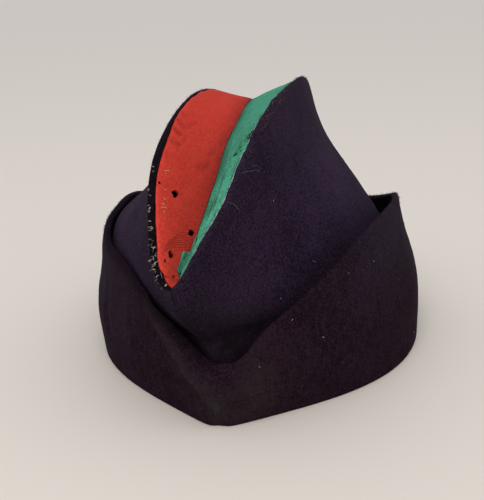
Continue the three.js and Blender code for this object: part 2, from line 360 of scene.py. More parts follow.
def panel_point(along, up, side):
    """A point of a side panel, with the turn at the front fold eased into a soft swell."""
    plain = felt_point(CROWN_LINES, along, up, side)
    nearby = [felt_point(CROWN_LINES, along, np.clip(up + step, 0, 1), side) for step in FOLD_STEPS]
    share = FOLD_EASE * fade(along, 0.25, 0.45) * bell(up, *FOLD_UP)
    return plain + share[:, None] * (np.mean(nearby, axis=0) - plain)


def seam_distance(points, along, up, side):
    front = panel_point(np.zeros_like(up), up, side)
    back = panel_point(np.ones_like(up), up, side)
    seam = np.where((along < 0.5)[:, None], front, back)
    return seam, np.linalg.norm(points - seam, axis=1) / MM


def thicken(piece, thickness):
    """Gives a sheet its thickness behind it; thickness is one value in mm for each corner."""
    fullest = float(np.max(thickness))
    group = piece.vertex_groups.new(name="felt")
    for corner, value in enumerate(thickness / fullest):
        group.add([corner], float(value), "REPLACE")
    modify(piece, "SOLIDIFY", thickness=fullest * MM, offset=-1, vertex_group="felt",
           use_quality_normals=True)
    piece.vertex_groups.clear()


def flatten_foot(piece, up):
    """Brings the lower edge of a thickened sheet, front and behind, to the level of the floor."""
    places = corners(piece)
    places[np.tile(up == 0, 2), 2] = 0
    move_corners(piece, places)


def stand_on_floor(piece, reach=3 * MM):
    """Eases the lowest part of a piece down so that it touches the floor."""
    places = corners(piece)
    lowest = places[:, 2].min()
    places[:, 2] -= lowest * (1 - np.clip(places[:, 2] / reach, 0, 1))
    move_corners(piece, places)


def keep_sharp(piece, chosen):
    """Marks the edges between chosen corners, so that subdivision doesn't round them."""
    ends = np.empty(len(piece.data.edges) * 2, np.int32)
    piece.data.edges.foreach_get("vertices", ends)
    both = chosen[ends.reshape(-1, 2)].all(axis=1)
    layer = piece.data.attributes.new("crease_edge", "FLOAT", "EDGE")
    layer.data.foreach_set("value", both.astype(np.float32))


def finish_felt(piece):
    modify(piece, "SUBSURF", levels=1, render_levels=1)
    take(piece)
    bpy.ops.object.shade_smooth()
    print(piece.name, len(piece.data.polygons), "faces")


def paint_panel(piece, along, up, side):
    """Soil at the front, painted shade in the fold, a dark sewn band at the right crest, rubbed places and
    painted light.
    """
    much, right = PANEL_PAINT, side < 0
    band_from = BAND_START - BAND_WIDER * fade(along, 0.08, 0.2)
    band = smooth_step(up, band_from, band_from + BAND_SOFT) * fade(along, 0.3, 0.45) * right
    soil = much["soil"] * fade(along, 0.02, 0.2) * fade(up, 0.5, 0.95)
    # Painted shade: the front fold under the crown's overhang is darkened through the dust layer.
    fold = fade(along, 0.05, 0.3) * bell(up, 0.26, 0.16)
    crest = much["crest"] * smooth_step(up, 0.965, 1) * (1 - band)
    # Painted light: lighter patches on the middle of the right panel and the back of the left one, through
    # the wear layer.
    painted_light = much["painted_light"][side] * bell(up, 0.62, 0.2) * smooth_step(along, 0.15, 0.35) * (1 - band)
    if not right:
        painted_light *= smooth_step(along, 0.3, 0.42)
    rubbed = much["rubbed"] * bell(up, band_from - RUBBED_LINE["below"], RUBBED_LINE["reach"])
    rubbed *= window(along, (0.02, 0.06), (0.22, 0.3)) * right
    paint(piece, dust=np.clip(soil + fold + band, 0, 1), wear=crest + painted_light + rubbed,
          stain=much["stain"] * band * fade(along, 0.22, 0.32))


def side_panel(name, side, seed):
    piece, along, up = flat_sheet(name, *PANEL_GRID)
    places = panel_point(along, up, side)
    seam, away = seam_distance(places, along, up, side)
    move_corners(piece, places)
    if side < 0:
        turn_over(piece)
    loose = smooth_step(away, 0, SEAM_STIFF)
    free = loose * smooth_step(1 - up, 0, 0.12) * smooth_step(up, 0, 0.2)
    relief = free * (layered_waves(places, PANEL_WAVES, seed) - PANEL_SETTLE)
    relief -= SEAM_SINK * bell(away, 0, SEAM_REACH) * smooth_step(up, 0, 0.1)
    relief -= NOSE_SINK * bell(away, 0, NOSE_REACH) * bell(up, *NOSE_UP) * (along < 0.5)
    places = places + outward(piece) * relief[:, None] * MM
    ends = (along == 0) | (along == 1)
    places[ends, 0] = seam[ends, 0] + side * SEAM_GAP / 2 * MM
    size, more = CREST_WAVE
    uneven = CREST_UNEVEN[side] * waves(places, size, seed + more) * smooth_step(up, 0.94, 1)
    places[:, 2] += uneven * loose * (1 - CREST_SMOOTHER * smooth_step(along, 0.3, 0.45)) * MM
    move_corners(piece, places)
    hem = PANEL_HEM[side] * hem_share(along, side)
    thickness = PANEL_FELT + (hem - PANEL_FELT) * smooth_step(up, HEM_START, 1)
    inside = side * (places[:, 0] - seam[:, 0]) / MM - SEAM_GAP / 2
    mitre = inside / np.maximum(MITRE_STEEPEST, side * outward(piece)[:, 0])
    paint_panel(piece, along, up, side)
    thicken(piece, np.minimum(thickness, np.maximum(mitre, MITRE_LEAST)))
    flatten_foot(piece, up)
    keep_sharp(piece, np.tile(ends, 2))
    finish_felt(piece)
    stand_on_floor(piece)
    return piece


left_panel = side_panel("left_panel_felt", 1, 11)
right_panel = side_panel("right_panel_felt", -1, 23)

# %% [markdown]
# ## The curtain
# The curtain is a band turned up around the rim. It is highest at the sides and dips to a rounded
# notch at the front, where years of handling have pressed a sharp crease, a softer ridge and a
# hollow between them. The band is one grid with its front in the middle. Its top edge is a soft
# hem that has been pulled up here and down there, so a short table of lifts follows it. In the
# dip the edge rolls in as a lip, and along the wearer's right it closes on the crown: rays cast
# from the edge tell how much room there is. At the back the two ends are merged, and the wall
# that is left between them inside the felt is deleted.

# %% Curtain
CURTAIN_GRID = (300, 34)
CURTAIN_FELT = 2.4
CURTAIN_SPAN = (300, 45)
CURTAIN_WAVES = [(0.5, 30, 0), (0.2, 9, 5)]
CURTAIN_SWELL = 0.3
CURTAIN_FOLDS = [
    dict(fold="long crease", height=2.4, width=4.2, line=[
        (-0.148, 0.945), (-0.106, 0.834), (-0.080, 0.714), (-0.052, 0.648), (-0.028, 0.543),
        (0.002, 0.307)]),
    dict(fold="streak over it", height=0.5, width=1.4, line=[
        (-0.142, 0.90), (-0.098, 0.77), (-0.066, 0.66), (-0.036, 0.52), (-0.012, 0.36)]),
    dict(fold="streak under it", height=0.4, width=1.2, line=[
        (-0.120, 0.92), (-0.088, 0.80), (-0.050, 0.70), (-0.020, 0.55), (0.010, 0.40)]),
    dict(fold="soft ridge", height=1.4, width=8, line=[
        (0.086, 0.92), (0.090, 0.754), (0.102, 0.528), (0.116, 0.312), (0.112, 0.20)]),
    dict(fold="hollow", height=-2.8, width=11, line=[
        (0.02, 0.85), (0.035, 0.6), (0.055, 0.3)]),
    dict(fold="short wrinkle", height=0.6, width=1.6, line=[
        (-0.038, 0.457), (-0.026, 0.447), (-0.012, 0.417)]),
    dict(fold="wrinkle in the hollow", height=0.7, width=2, line=[
        (0.0, 0.62), (0.03, 0.60), (0.06, 0.66)]),
    dict(fold="upright wrinkle", height=0.8, width=2.2, line=[
        (-0.30, 0.62), (-0.305, 0.45), (-0.295, 0.30)]),
    dict(fold="upright wrinkle", height=0.7, width=2.0, line=[
        (-0.265, 0.66), (-0.27, 0.50), (-0.262, 0.36)]),
    dict(fold="upright wrinkle", height=0.6, width=2.0, line=[
        (-0.215, 0.68), (-0.222, 0.52), (-0.21, 0.40)]),
    dict(fold="upright groove", height=-0.7, width=2.2, line=[
        (-0.283, 0.64), (-0.288, 0.46), (-0.28, 0.33)]),
]
LONG_CREASE, SOFT_RIDGE = CURTAIN_FOLDS[0], CURTAIN_FOLDS[3]
DIP = (0.01, 0.12)
HEM_SWELL = 0.6
HEM_FELT = 1.0
HEM_TIGHT = dict(by=1.6, at=-0.18, reach=0.1)
LIP_ROLL = 7.5
LIP_FELT = -0.9
LIP_START = 0.6
ROLL_FULL = 0.96
CLOSED_LIP = dict(most=3.0, room=0.4, start=0.74, evened=11)
EDGE_LIFTS = [
    dict(at=0.01, reach=0.11, by=-1.7),
    dict(at=-0.055, reach=0.03, by=-2.2),
    dict(at=0.068, reach=0.034, by=-3.8),
    dict(at=-0.19, reach=0.065, by=5.0),
    dict(at=-0.25, reach=0.05, by=3.0),
    dict(at=-0.64, reach=0.08, by=3.5),
    dict(at=0.30, reach=0.09, by=6.5),
    dict(at=0.40, reach=0.07, by=3.0),
]
MERGE_WITHIN = 0.5
PROW_SINK = 1.5
PROW_REACH = 9
PROW_EASE = 0.6
# rubbed is wear on the crease with a painted highlight; hem_shade and left_shade are painted shade.
CURTAIN_PAINT = dict(front=0.4, crease=0.38, ridge=0.25, hem=0.3, rubbed=0.6, left=0.6, right=0.45,
                     hem_shade=0.42, left_shade=0.1)


def on_curtain(around, up):
    """A point of the curtain: around from the back over the right, 0 at the front, to the back."""
    return felt_point(CURTAIN_LINES, np.abs(around), up, np.where(around < 0, -1, 1))


def fold_path(fold):
    return np.array(fold["line"]) * CURTAIN_SPAN


def rolled(up, start):
    """How far an edge has rolled in, as a share of the roll's size."""
    turn = np.clip((up - start) / (1 - start), 0, 1)
    return 1 - np.sqrt(1 - ROLL_FULL * turn * turn)


def room_behind(places, ways, surfaces, most=20):
    """How far it is, in mm, from each place back along its way to the first of some surfaces."""
    rooms = []
    for place, way in zip(places, ways):
        hits = [face.ray_cast(Vector(place), Vector(-way), most * MM)[3] for face in surfaces]
        rooms.append(min([hit / MM for hit in hits if hit is not None], default=most))
    return np.array(rooms)


def closed_lip(places, ways, around, up, felt, surfaces):
    """How far the edge leans in, in mm: along the right arm it closes on the crown."""
    edge = np.flatnonzero(up > 0.999)
    edge = edge[np.argsort(around[edge])]
    free = room_behind(places[edge], ways[edge], surfaces) - felt[edge] - CLOSED_LIP["room"]
    lean = np.clip(free, 0, CLOSED_LIP["most"])
    count, start = CLOSED_LIP["evened"], CLOSED_LIP["start"]
    lean = np.convolve(np.pad(lean, count // 2, mode="edge"), np.full(count, 1 / count), mode="valid")
    arm = window(-around, (0.0, 0.05), (0.46, 0.58))
    return np.interp(around, around[edge], lean) * arm * rolled(up, start) / rolled(1, start)


def merge_ends(piece):
    """Merges the band's two ends and deletes the wall that is left between them inside the felt."""
    at_seam = np.empty(len(piece.data.vertices), np.float32)
    piece.data.attributes["at_seam"].data.foreach_get("value", at_seam)
    take(piece)
    bpy.ops.object.mode_set(mode="EDIT")
    bpy.ops.mesh.select_mode(type="VERT")
    bpy.ops.mesh.select_all(action="DESELECT")
    bpy.ops.object.mode_set(mode="OBJECT")
    piece.data.vertices.foreach_set("select", at_seam > 0.5)
    bpy.ops.object.mode_set(mode="EDIT")
    bpy.ops.mesh.remove_doubles(threshold=MERGE_WITHIN * MM)
    bpy.ops.mesh.select_mode(type="FACE")
    bpy.ops.mesh.delete(type="FACE")
    bpy.ops.mesh.select_mode(type="VERT")
    bpy.ops.object.mode_set(mode="OBJECT")
    piece.data.attributes.remove(piece.data.attributes["at_seam"])


def curtain_relief(places, around, up, spots, seed):
    """How far the felt stands out, in mm: waves, folds, the swollen hem, the lip and the prow."""
    edges = smooth_step(up, 0, 0.12) * smooth_step(1 - up, 0, 0.1)
    relief = edges * (CURTAIN_SWELL + layered_waves(places, CURTAIN_WAVES, seed))
    for fold in CURTAIN_FOLDS:
        share = near_line(spots, fold_path(fold), fold["width"]) * smooth_step(up, 0, 0.15)
        relief += fold["height"] * share
    dip = bell(around, *DIP)
    relief += HEM_SWELL * smooth_step(up, 0.9, 0.97) * (1 - dip)
    relief -= LIP_ROLL * dip * rolled(up, LIP_START)
    return relief - PROW_SINK * bell(spots[:, 0], 1, PROW_REACH) * (1 - PROW_EASE * up)


def hem_felt(around, up):
    """Thickness in mm: more in the hem, less in the lip of the dip and where the hem is tight."""
    dip = bell(around, *DIP)
    tight = HEM_TIGHT["by"] * bell(around, HEM_TIGHT["at"], HEM_TIGHT["reach"])
    edge = HEM_FELT * (1 - dip) * (1 - tight) + LIP_FELT * dip
    return CURTAIN_FELT + edge * smooth_step(up, 0.86, 0.97)


def paint_curtain(piece, around, up, spots):
    """Dust on the front and its folds, wear and a painted highlight on the crease, wear on the hem, deeper
    navy high up, painted shade on the hem and left side.
    """
    much = CURTAIN_PAINT
    crease, ridge = fold_path(LONG_CREASE), fold_path(SOFT_RIDGE)
    dust = much["front"] * bell(around, 0.02, 0.12) * fade(up, 0.5, 0.85)
    dust += much["crease"] * near_line(spots, crease, 6) + much["ridge"] * near_line(spots, ridge, 8)
    wear = much["hem"] * smooth_step(up, 0.95, 1) * (1 - bell(around, *DIP))
    # The crease's wear is also a painted highlight along its ridge.
    wear += much["rubbed"] * near_line(spots, crease, 3)
    stain = much["left"] * smooth_step(around, 0.14, 0.36) * smooth_step(up, 0.35, 0.85)
    stain += much["right"] * smooth_step(-around, 0.22, 0.34) * smooth_step(up, 0.1, 0.6)
    # Painted shade: the hem of the right arm, under the crown, and the curtain's left side are darkened.
    arm = window(-around, (0.02, 0.07), (0.5, 0.62))
    shade = much["hem_shade"] * arm * smooth_step(up, 0.875, 0.95)
    shade += much["left_shade"] * smooth_step(around, 0.08, 0.2)
    paint(piece, dust=np.clip(dust, 0, 1), wear=wear, stain=stain, shade=shade)


def curtain_band(name, seed, surfaces):
    piece, across, up = flat_sheet(name, *CURTAIN_GRID)
    around = 2 * across - 1
    places = on_curtain(around, up)
    move_corners(piece, places)
    spots = np.stack([around, up], -1) * CURTAIN_SPAN
    ways = outward(piece)
    ends = np.abs(around) == 1
    ways[ends] = (0, 1, 0)
    relief = curtain_relief(places, around, up, spots, seed)
    for lift in EDGE_LIFTS:
        share = bell(around, lift["at"], lift["reach"]) * smooth_step(up, 0.3, 1)
        places[:, 2] += lift["by"] * share * MM
    felt = hem_felt(around, up)
    places = places + ways * relief[:, None] * MM
    places -= ways * closed_lip(places, ways, around, up, felt, surfaces)[:, None] * MM
    move_corners(piece, places)
    paint_curtain(piece, around, up, spots)
    paint(piece, at_seam=ends)
    thicken(piece, felt)
    flatten_foot(piece, up)
    merge_ends(piece)
    finish_felt(piece)
    stand_on_floor(piece)
    return piece


curtain = curtain_band("curtain_felt", 41, [surface_of(left_panel), surface_of(right_panel)])

# %% [markdown]
# ## The gusset
# Between the two crests lies the gusset, a red half on the wearer's right and a green half on the
# left, folded down into a valley. Each half runs from the valley out to the folded edge of its
# panel, just below the top, where it is sewn in. Both lines come from the level lines, so the
# gusset follows the panels by itself. The felt is drawn into small puckers along the seam.

# %% Gusset halves
GUSSET_GRID = (190, 44)
GUSSET_SPAN = (220, 30)
GUSSET_FELT = 1.6
TIP_FELT = 0.35
VALLEY_FELT = 0.25
GUSSET_WAVES = [(0.5, 20, 0), (0.25, 6, 3)]
CRUMPLE_WAVES = [(1, 9, 1), (0.6, 4.5, 2)]
CRUMPLE_SLANT = dict(across=4.5, along=160)
PUCKER = dict(height=0.5, size=3.2, across=8, reach=0.16, more=9)
GUSSET_ROLL = 1.3
GUSSET_DROP = 1.5
GUSSET_GAP = 0.25
TIP_GAP = dict(extra=1.5, sharpness=6)
LEAST_WIDTH = 0.9
VALLEY_SWAYS = [dict(by=2.2, at=0.22, reach=0.1), dict(by=1.4, at=0.345, reach=0.045)]
GREEN_TUCK = {"top": (0.6, 0, 0.7), "front": (0.8, 0, 2.2), "from": 0.22, "to": 0.42}
# hem and wrinkle paint shade: a shadow line along the red's sewn edge and shade in the wrinkles' grooves.
GUSSET_PAINT = dict(tip=0.35, hem=0.5, wrinkle=1.2, edge=0.6)
TIP_SHARE = 0.06
SPAN_STEPS = 721
NEXT_STATION = 1 / 36
NEXT_ROW = 1 / 15


def unit(vectors):
    return vectors / np.maximum(np.linalg.norm(vectors, axis=-1, keepdims=True), 1e-12)


def crest_frame(along, side):
    """The crest line of a panel, the way out from the panel, and the way down its face."""
    rim = felt_point(CROWN_LINES, along, np.ones_like(along), side)
    below = felt_point(CROWN_LINES, along, np.full_like(along, 1 - NEXT_ROW), side)
    before = felt_point(CROWN_LINES, np.maximum(along - NEXT_STATION, 0), np.ones_like(along), side)
    after = felt_point(CROWN_LINES, np.minimum(along + NEXT_STATION, 1), np.ones_like(along), side)
    out = unit(np.cross(after - before, rim - below)) * side
    return rim, out, unit(below - rim)


def gusset_edges(along, side):
    rim, out, down = crest_frame(along, side)
    angle = station_angle(along)
    gap = GUSSET_GAP * (1 + TIP_GAP["extra"] * np.cos(angle) ** TIP_GAP["sharpness"])
    share = hem_share(along, side)
    edge = rim - out * (PANEL_HEM[side] * share + gap)[:, None] * MM
    edge += down * (GUSSET_DROP * share**2)[:, None] * MM
    valley = in_frame(level_line(VALLEY, angle, side))
    valley[:, 0] += side * SEAM_GAP / 2 * MM
    for sway in VALLEY_SWAYS:
        valley[:, 0] -= sway["by"] * bell(along, sway["at"], sway["reach"]) * MM
    if side > 0:
        within = smooth_step(np.minimum(along, 1 - along), 0, TIP_SHARE)
        high = smooth_step(along, GREEN_TUCK["from"], GREEN_TUCK["to"])[:, None]
        tuck = high * np.array(GREEN_TUCK["top"]) + (1 - high) * np.array(GREEN_TUCK["front"])
        valley -= within[:, None] * tuck * MM
    return valley, edge


def gusset_span(side):
    along = np.linspace(0, 1, SPAN_STEPS)
    valley, edge = gusset_edges(along, side)
    wide = along[side * (edge[:, 0] - valley[:, 0]) > LEAST_WIDTH * MM]
    return wide[0], wide[-1]


def gusset_point(along, out, side):
    """A point of a gusset half: along from its front tip to its back tip, out from the valley."""
    first, last = gusset_span(side)
    valley, edge = gusset_edges(first + along * (last - first), side)
    point = valley + (edge - valley) * out[:, None]
    point[:, 2] = valley[:, 2] + (edge - valley)[:, 2] * (1 - (1 - out) ** GUSSET_ROLL)
    return point


def gusset_half(name, side, seed, wrinkles, crumple):
    piece, along, out = flat_sheet(name, *GUSSET_GRID)
    places = gusset_point(along, out, side)
    move_corners(piece, places)
    if side > 0:
        turn_over(piece)
    spots = np.stack([along, out], -1) * GUSSET_SPAN
    tips = smooth_step(np.minimum(along, 1 - along), 0, TIP_SHARE)
    inside = smooth_step(1 - out, 0, 0.06) * smooth_step(out, 0, 0.1) * tips
    relief = inside * layered_waves(places, GUSSET_WAVES, seed)
    slant = spots[:, 1] * CRUMPLE_SLANT["across"] + along * CRUMPLE_SLANT["along"]
    creased = layered_waves(np.stack([spots[:, 0], slant, 0 * out], -1) * MM, CRUMPLE_WAVES, seed)
    rumpled = crumple * smooth_step(out, 0.05, 0.3) * fade(along, 0.22, 0.4) * inside
    relief += rumpled * creased
    edge_run = np.stack([spots[:, 0], out * PUCKER["across"], 0 * out], -1) * MM
    pucker = waves(edge_run, PUCKER["size"], seed + PUCKER["more"])
    relief += PUCKER["height"] * pucker * bell(out, 1, PUCKER["reach"]) * tips
    wrinkle_shading = np.zeros(len(along))
    for wrinkle in wrinkles:
        path = np.array(wrinkle["line"]) * GUSSET_SPAN
        fold = wrinkle["height"] * near_line(spots, path, wrinkle["width"]) * inside
        relief += fold
        wrinkle_shading -= fold
    move_corners(piece, places + outward(piece) * relief[:, None] * MM)
    # Painted shade in the valley between the two halves, through the dust layer.
    dust = bell(out, 0, 0.16) * smooth_step(along, 0.2, 0.36)
    # Painted shade in the grooves of the crumpled felt.
    dust += rumpled * smooth_step(-creased, 0.05, 0.5)
    dust += crumple * GUSSET_PAINT["tip"] * fade(along, 0.1, 0.15)
    # Painted shadow along the red's sewn edge, under the navy hem.
    if side < 0:
        dust += GUSSET_PAINT["hem"] * smooth_step(out, 0.965, 1) * smooth_step(pucker, -0.2, 0.3)
    wear = GUSSET_PAINT["edge"] * smooth_step(out, 0.9, 1) + fade(along, 0.06, 0.3)
    # Painted shade in the wrinkles' grooves, and less dust on their ridges.
    paint(piece, dust=np.clip(dust + GUSSET_PAINT["wrinkle"] * wrinkle_shading, 0, 1), wear=wear)
    at_tip = TIP_FELT + (1 - TIP_FELT) * tips
    at_valley = VALLEY_FELT + (1 - VALLEY_FELT) * smooth_step(out, 0, 0.2)
    thicken(piece, GUSSET_FELT * at_tip * at_valley)
    keep_sharp(piece, np.tile(out == 0, 2))
    finish_felt(piece)
    return piece


RED_WRINKLES = [
    dict(height=1.0, width=1.1, line=[(0.325, 0.95), (0.315, 0.84), (0.318, 0.74)]),
    dict(height=0.9, width=1.0, line=[(0.345, 0.92), (0.335, 0.82)]),
    dict(height=-1.0, width=1.0, line=[(0.335, 0.95), (0.327, 0.8)]),
    dict(height=0.7, width=1.2, line=[(0.30, 0.93), (0.292, 0.8)]),
    dict(height=-0.9, width=0.9, line=[(0.308, 0.96), (0.302, 0.86), (0.305, 0.76)]),
    dict(height=-0.8, width=0.9, line=[(0.36, 0.95), (0.352, 0.86)]),
    dict(height=-0.5, width=0.9, line=[(0.385, 0.94), (0.376, 0.85)]),
    dict(height=-0.5, width=1.0, line=[(0.275, 0.95), (0.268, 0.87)]),
    dict(height=-0.5, width=1.2, line=[(0.345, 0.8), (0.352, 0.7), (0.365, 0.62)]),
    dict(height=-0.6, width=1.0, line=[(0.30, 0.16), (0.288, 0.24), (0.284, 0.31)]),
    dict(height=-0.5, width=0.9, line=[(0.325, 0.15), (0.316, 0.22)]),
]
GREEN_WRINKLES = [
    dict(height=0.8, width=1.0, line=[(0.02, 0.35), (0.10, 0.42), (0.17, 0.40)]),
    dict(height=-0.8, width=0.9, line=[(0.05, 0.55), (0.12, 0.6), (0.2, 0.55)]),
    dict(height=0.8, width=1.0, line=[(0.08, 0.75), (0.16, 0.78), (0.24, 0.7)]),
    dict(height=0.7, width=1.2, line=[(0.2, 0.3), (0.27, 0.35), (0.33, 0.3)]),
]
red_gusset = gusset_half("red_gusset_felt", -1, 57, RED_WRINKLES, 0)
green_gusset = gusset_half("green_gusset_felt", 1, 71, GREEN_WRINKLES, 1.0)

# %% [markdown]
# ## Moth holes
# Moths have eaten a few holes through the gusset and some shallow pits beside them. A hole is cut
# with a short cylinder whose rim has been made ragged, set on the sheet along its normal. The
# Boolean leaves a closed solid, so the felt shows its thickness in the hole. Little light gets in
# there, so the walls below the felt's face are darkened with painted shade in the stain layer.

# %% Holes and pits
HOLE_SIDES = 14
HOLE_SMOOTH = 50
RAGGED = 0.28
WALL_WITHIN = 0.72
WALL_BELOW = 0.25
RED_HOLES = [
    dict(along=0.215, out=0.585, wide=3.5, deep=6),
    dict(along=0.183, out=0.115, wide=3.4, deep=6),
    dict(along=0.102, out=0.49, wide=3.6, deep=6),
    dict(along=0.075, out=0.71, wide=1.5, deep=0.9),
    dict(along=0.212, out=0.93, wide=1.5, deep=1.0),
    dict(along=0.047, out=0.31, wide=1.5, deep=0.9),
]
GREEN_HOLES = [
    dict(along=0.263, out=0.89, wide=5.2, deep=6),
    dict(along=0.250, out=0.78, wide=2.6, deep=0.9),
    dict(along=0.258, out=0.70, wide=1.8, deep=0.85),
    dict(along=0.240, out=0.72, wide=2.0, deep=0.8),
    dict(along=0.236, out=0.86, wide=1.8, deep=0.75),
]


def eat_hole(piece, place, wide, deep, chance):
    """Cuts one hole, and gives the spot where it starts on the felt and the way out of it."""
    spot, way, _, _ = surface_of(piece).find_nearest(Vector(place))
    bpy.ops.object.select_all(action="DESELECT")
    bpy.ops.mesh.primitive_cylinder_add(vertices=HOLE_SIDES, radius=wide / 2 * MM, depth=2 * deep * MM)
    cutter = bpy.context.object
    rough = corners(cutter)
    factor = 1 + RAGGED * chance.uniform(-1, 1, HOLE_SIDES)
    ring = np.round(np.arctan2(rough[:, 1], rough[:, 0]) / (2 * np.pi) * HOLE_SIDES).astype(int)
    rough[:, :2] *= factor[ring % HOLE_SIDES][:, None]
    turn_to = np.array(way.to_track_quat("Z", "Y").to_matrix())
    move_corners(cutter, rough @ turn_to.T + np.array(spot))
    modify(piece, "BOOLEAN", object=cutter, operation="DIFFERENCE", solver="EXACT")
    bpy.data.objects.remove(cutter)
    return np.array(spot), np.array(way)


def eat_holes(piece, side, holes, chance):
    """Cuts the holes of a gusset half and paints shade on their walls."""
    bites = []
    for hole in holes:
        place = gusset_point(np.array([hole["along"]]), np.array([hole["out"]]), side)[0]
        bites.append(eat_hole(piece, place, hole["wide"], hole["deep"], chance))
    places = corners(piece)
    walls = np.zeros(len(places))
    for (spot, way), hole in zip(bites, holes):
        away = (places - spot) / MM
        height = away @ way
        aside = np.linalg.norm(away - height[:, None] * way, axis=1)
        walls[(aside < hole["wide"] * WALL_WITHIN) & (height < -WALL_BELOW)] = 1
    # Painted shade on the hole walls, where little light gets in.
    paint(piece, stain=walls)
    take(piece)
    bpy.ops.object.shade_smooth_by_angle(angle=math.radians(HOLE_SMOOTH))
    print(piece.name, len(piece.data.polygons), "faces with its holes")


chance = np.random.default_rng(5)
eat_holes(red_gusset, -1, RED_HOLES, chance)
eat_holes(green_gusset, 1, GREEN_HOLES, chance)

# %% [markdown]
# ## A torn flap
# Near the front tip the green felt has torn loose and laps over the red. The flap is a small sheet
# of its own: its outline is a short table of how far it reaches out from the valley, roughened by
# noise. It starts on the green and ends on the red, so each of its points is set down on whichever
# of the two is higher there, and lifted by the flap's thickness. Then it is joined to the green
# half, because it is the same felt.

# %% Torn flap
FLAP_GRID = (56, 14)
FLAP_FELT = 0.8
FLAP_LIFT = 0.25
FLAP_CURL = 0.9
FLAP_PRESSED = 0.85
FLAP_RAGGED = 0.007
FLAP_WAVE = (1.7, 3.3)
FLAP_ROOT = 0.25
FLAP_GREEN = 0.35
FLAP_DUST = 0.4
FLAP_OUTLINE = [(0.062, 0.03), (0.07, 0.16), (0.08, 0.24), (0.10, 0.25), (0.12, 0.25), (0.129, 0.24),
                (0.134, 0.20), (0.139, 0.12), (0.144, 0.05), (0.148, 0.0)]


def set_down(surfaces, places, ways, lift, reach=4):
    """Moves places along their ways onto the first of some surfaces, lifted off it by some mm."""
    set_places = []
    for place, way, height in zip(places, ways, lift):
        start = Vector(place + way * reach * MM)
        hits = [face.ray_cast(start, Vector(-way), 2 * reach * MM) for face in surfaces]
        hits = [(distance, spot) for spot, _, _, distance in hits if spot is not None]
        base = np.array(min(hits)[1]) if hits else place
        set_places.append(base + way * height * MM)
    return np.array(set_places)


def flap_along(share):
    first, last = FLAP_OUTLINE[0][0], FLAP_OUTLINE[-1][0]
    return first + share * (last - first)


def flap_reach(along):
    """How far out over the red the flap reaches, with its ragged edge."""
    plain = np.interp(along, *np.array(FLAP_OUTLINE).T)
    run = np.stack([along * GUSSET_SPAN[0], 0 * along, 0 * along], -1) * MM
    return plain + FLAP_RAGGED * waves(run, *FLAP_WAVE) * smooth_step(plain, 0.03, 0.1)


def torn_flap(name, surfaces):
    piece, across, out = flat_sheet(name, *FLAP_GRID)
    along = flap_along(across)
    on_red = np.clip((out - FLAP_ROOT) / (1 - FLAP_ROOT), 0, 1)
    on_green = np.clip(1 - out / FLAP_ROOT, 0, 1) * FLAP_GREEN
    red = gusset_point(along, on_red * flap_reach(along), -1)
    green = gusset_point(along, on_green, 1)
    move_corners(piece, np.where((out < FLAP_ROOT)[:, None], green, red))
    curl = FLAP_CURL * smooth_step(out, 0.4, 1) * smooth_step(across, 0.25, 0.55)
    lift = (FLAP_FELT + FLAP_LIFT + curl) * (1 - FLAP_PRESSED * smooth_step(across, 0.82, 1))
    move_corners(piece, set_down(surfaces, corners(piece), outward(piece), lift))
    paint(piece, dust=FLAP_DUST * fade(across, 0.3, 0.8),
          wear=smooth_step(out, 0.75, 1) * smooth_step(across, 0.4, 0.7))
    thicken(piece, np.full(len(along), FLAP_FELT))
    finish_felt(piece)
    return piece


flap = torn_flap("torn_flap", [surface_of(red_gusset), surface_of(green_gusset)])
take(green_gusset)
flap.select_set(True)
bpy.ops.object.join()
print("with its flap the green half has", len(green_gusset.data.polygons), "faces")

# %% [markdown]
# ## Felt as a material
# Felt is a mat of wool fibres. Close up it shows fine grain, soft blotches and a few pale strands,
# it is almost without gloss, and its edges and creases are rubbed lighter and hold dust. All the
# felts share these effects, so they are one node group: it takes four colours, how strong the
# upright streaks of brushed felt are, and the dust, wear, stain and shade layers painted
# on the piece. It gives a colour, a roughness and a height for the bump. The dust layer also holds
# painted shade in folds, creases, wrinkles and the gusset's valley, and the wear layer painted light
# on the panels and on the curtain's crease. On the gusset the stain layer is painted shade
# on the walls of a moth hole, on the curtain it is where the navy has lasted, and the shade layer is
# painted shade on the curtain's hem and left side.

# %% Felt node group
FELT_COLOURS = ("Deep", "Lit", "Dust colour", "Stain colour")
FELT_LAYERS = ("Dust", "Wear", "Stain", "Shade")
FELT_NOISES = {
    "grain": dict(scale=950, detail=3, roughness=0.7),
    "blotch": dict(scale=190, detail=3),
    "broad": dict(scale=26),
    "strand": dict(scale=330, detail=1, roughness=0.5, distortion=3.5),
    "streak": dict(scale=430),
}
UPRIGHT = (1, 1, 0.35)
BLACK = (0, 0, 0, 1)


def add_node(tree, kind, inputs=None, **settings):
    node = tree.nodes.new("ShaderNode" + kind)
    for setting, value in settings.items():
        setattr(node, setting, value)
    for socket, value in (inputs or {}).items():
        if isinstance(value, bpy.types.NodeSocket):
            tree.links.new(value, node.inputs[socket])
        else:
            node.inputs[socket].default_value = value
    return node


def mixed(tree, share, first, second, blend="MIX"):
    node = add_node(tree, "Mix", {0: share, 6: first, 7: second}, data_type="RGBA", blend_type=blend)
    return node.outputs[2]


def sums(tree, kind, *values):
    node = add_node(tree, "Math", dict(enumerate(values)), operation=kind)
    return node.outputs[0]


def weighed(tree, *pairs):
    """The sum of some values, each times its weight."""
    parts = [sums(tree, "MULTIPLY", value, weight) for value, weight in pairs]
    total = parts[0]
    for part in parts[1:]:
        total = sums(tree, "ADD", total, part)
    return total


def ranged(tree, value, low, high, start=0.0, end=1.0):
    return add_node(tree, "MapRange", {0: value, 1: low, 2: high, 3: start, 4: end}).outputs[0]


def noise_at(tree, place, scale, detail=2.0, roughness=0.6, distortion=0.0):
    values = {"Vector": place, "Scale": scale, "Detail": detail, "Roughness": roughness,
              "Distortion": distortion}
    return add_node(tree, "TexNoise", values).outputs["Fac"]


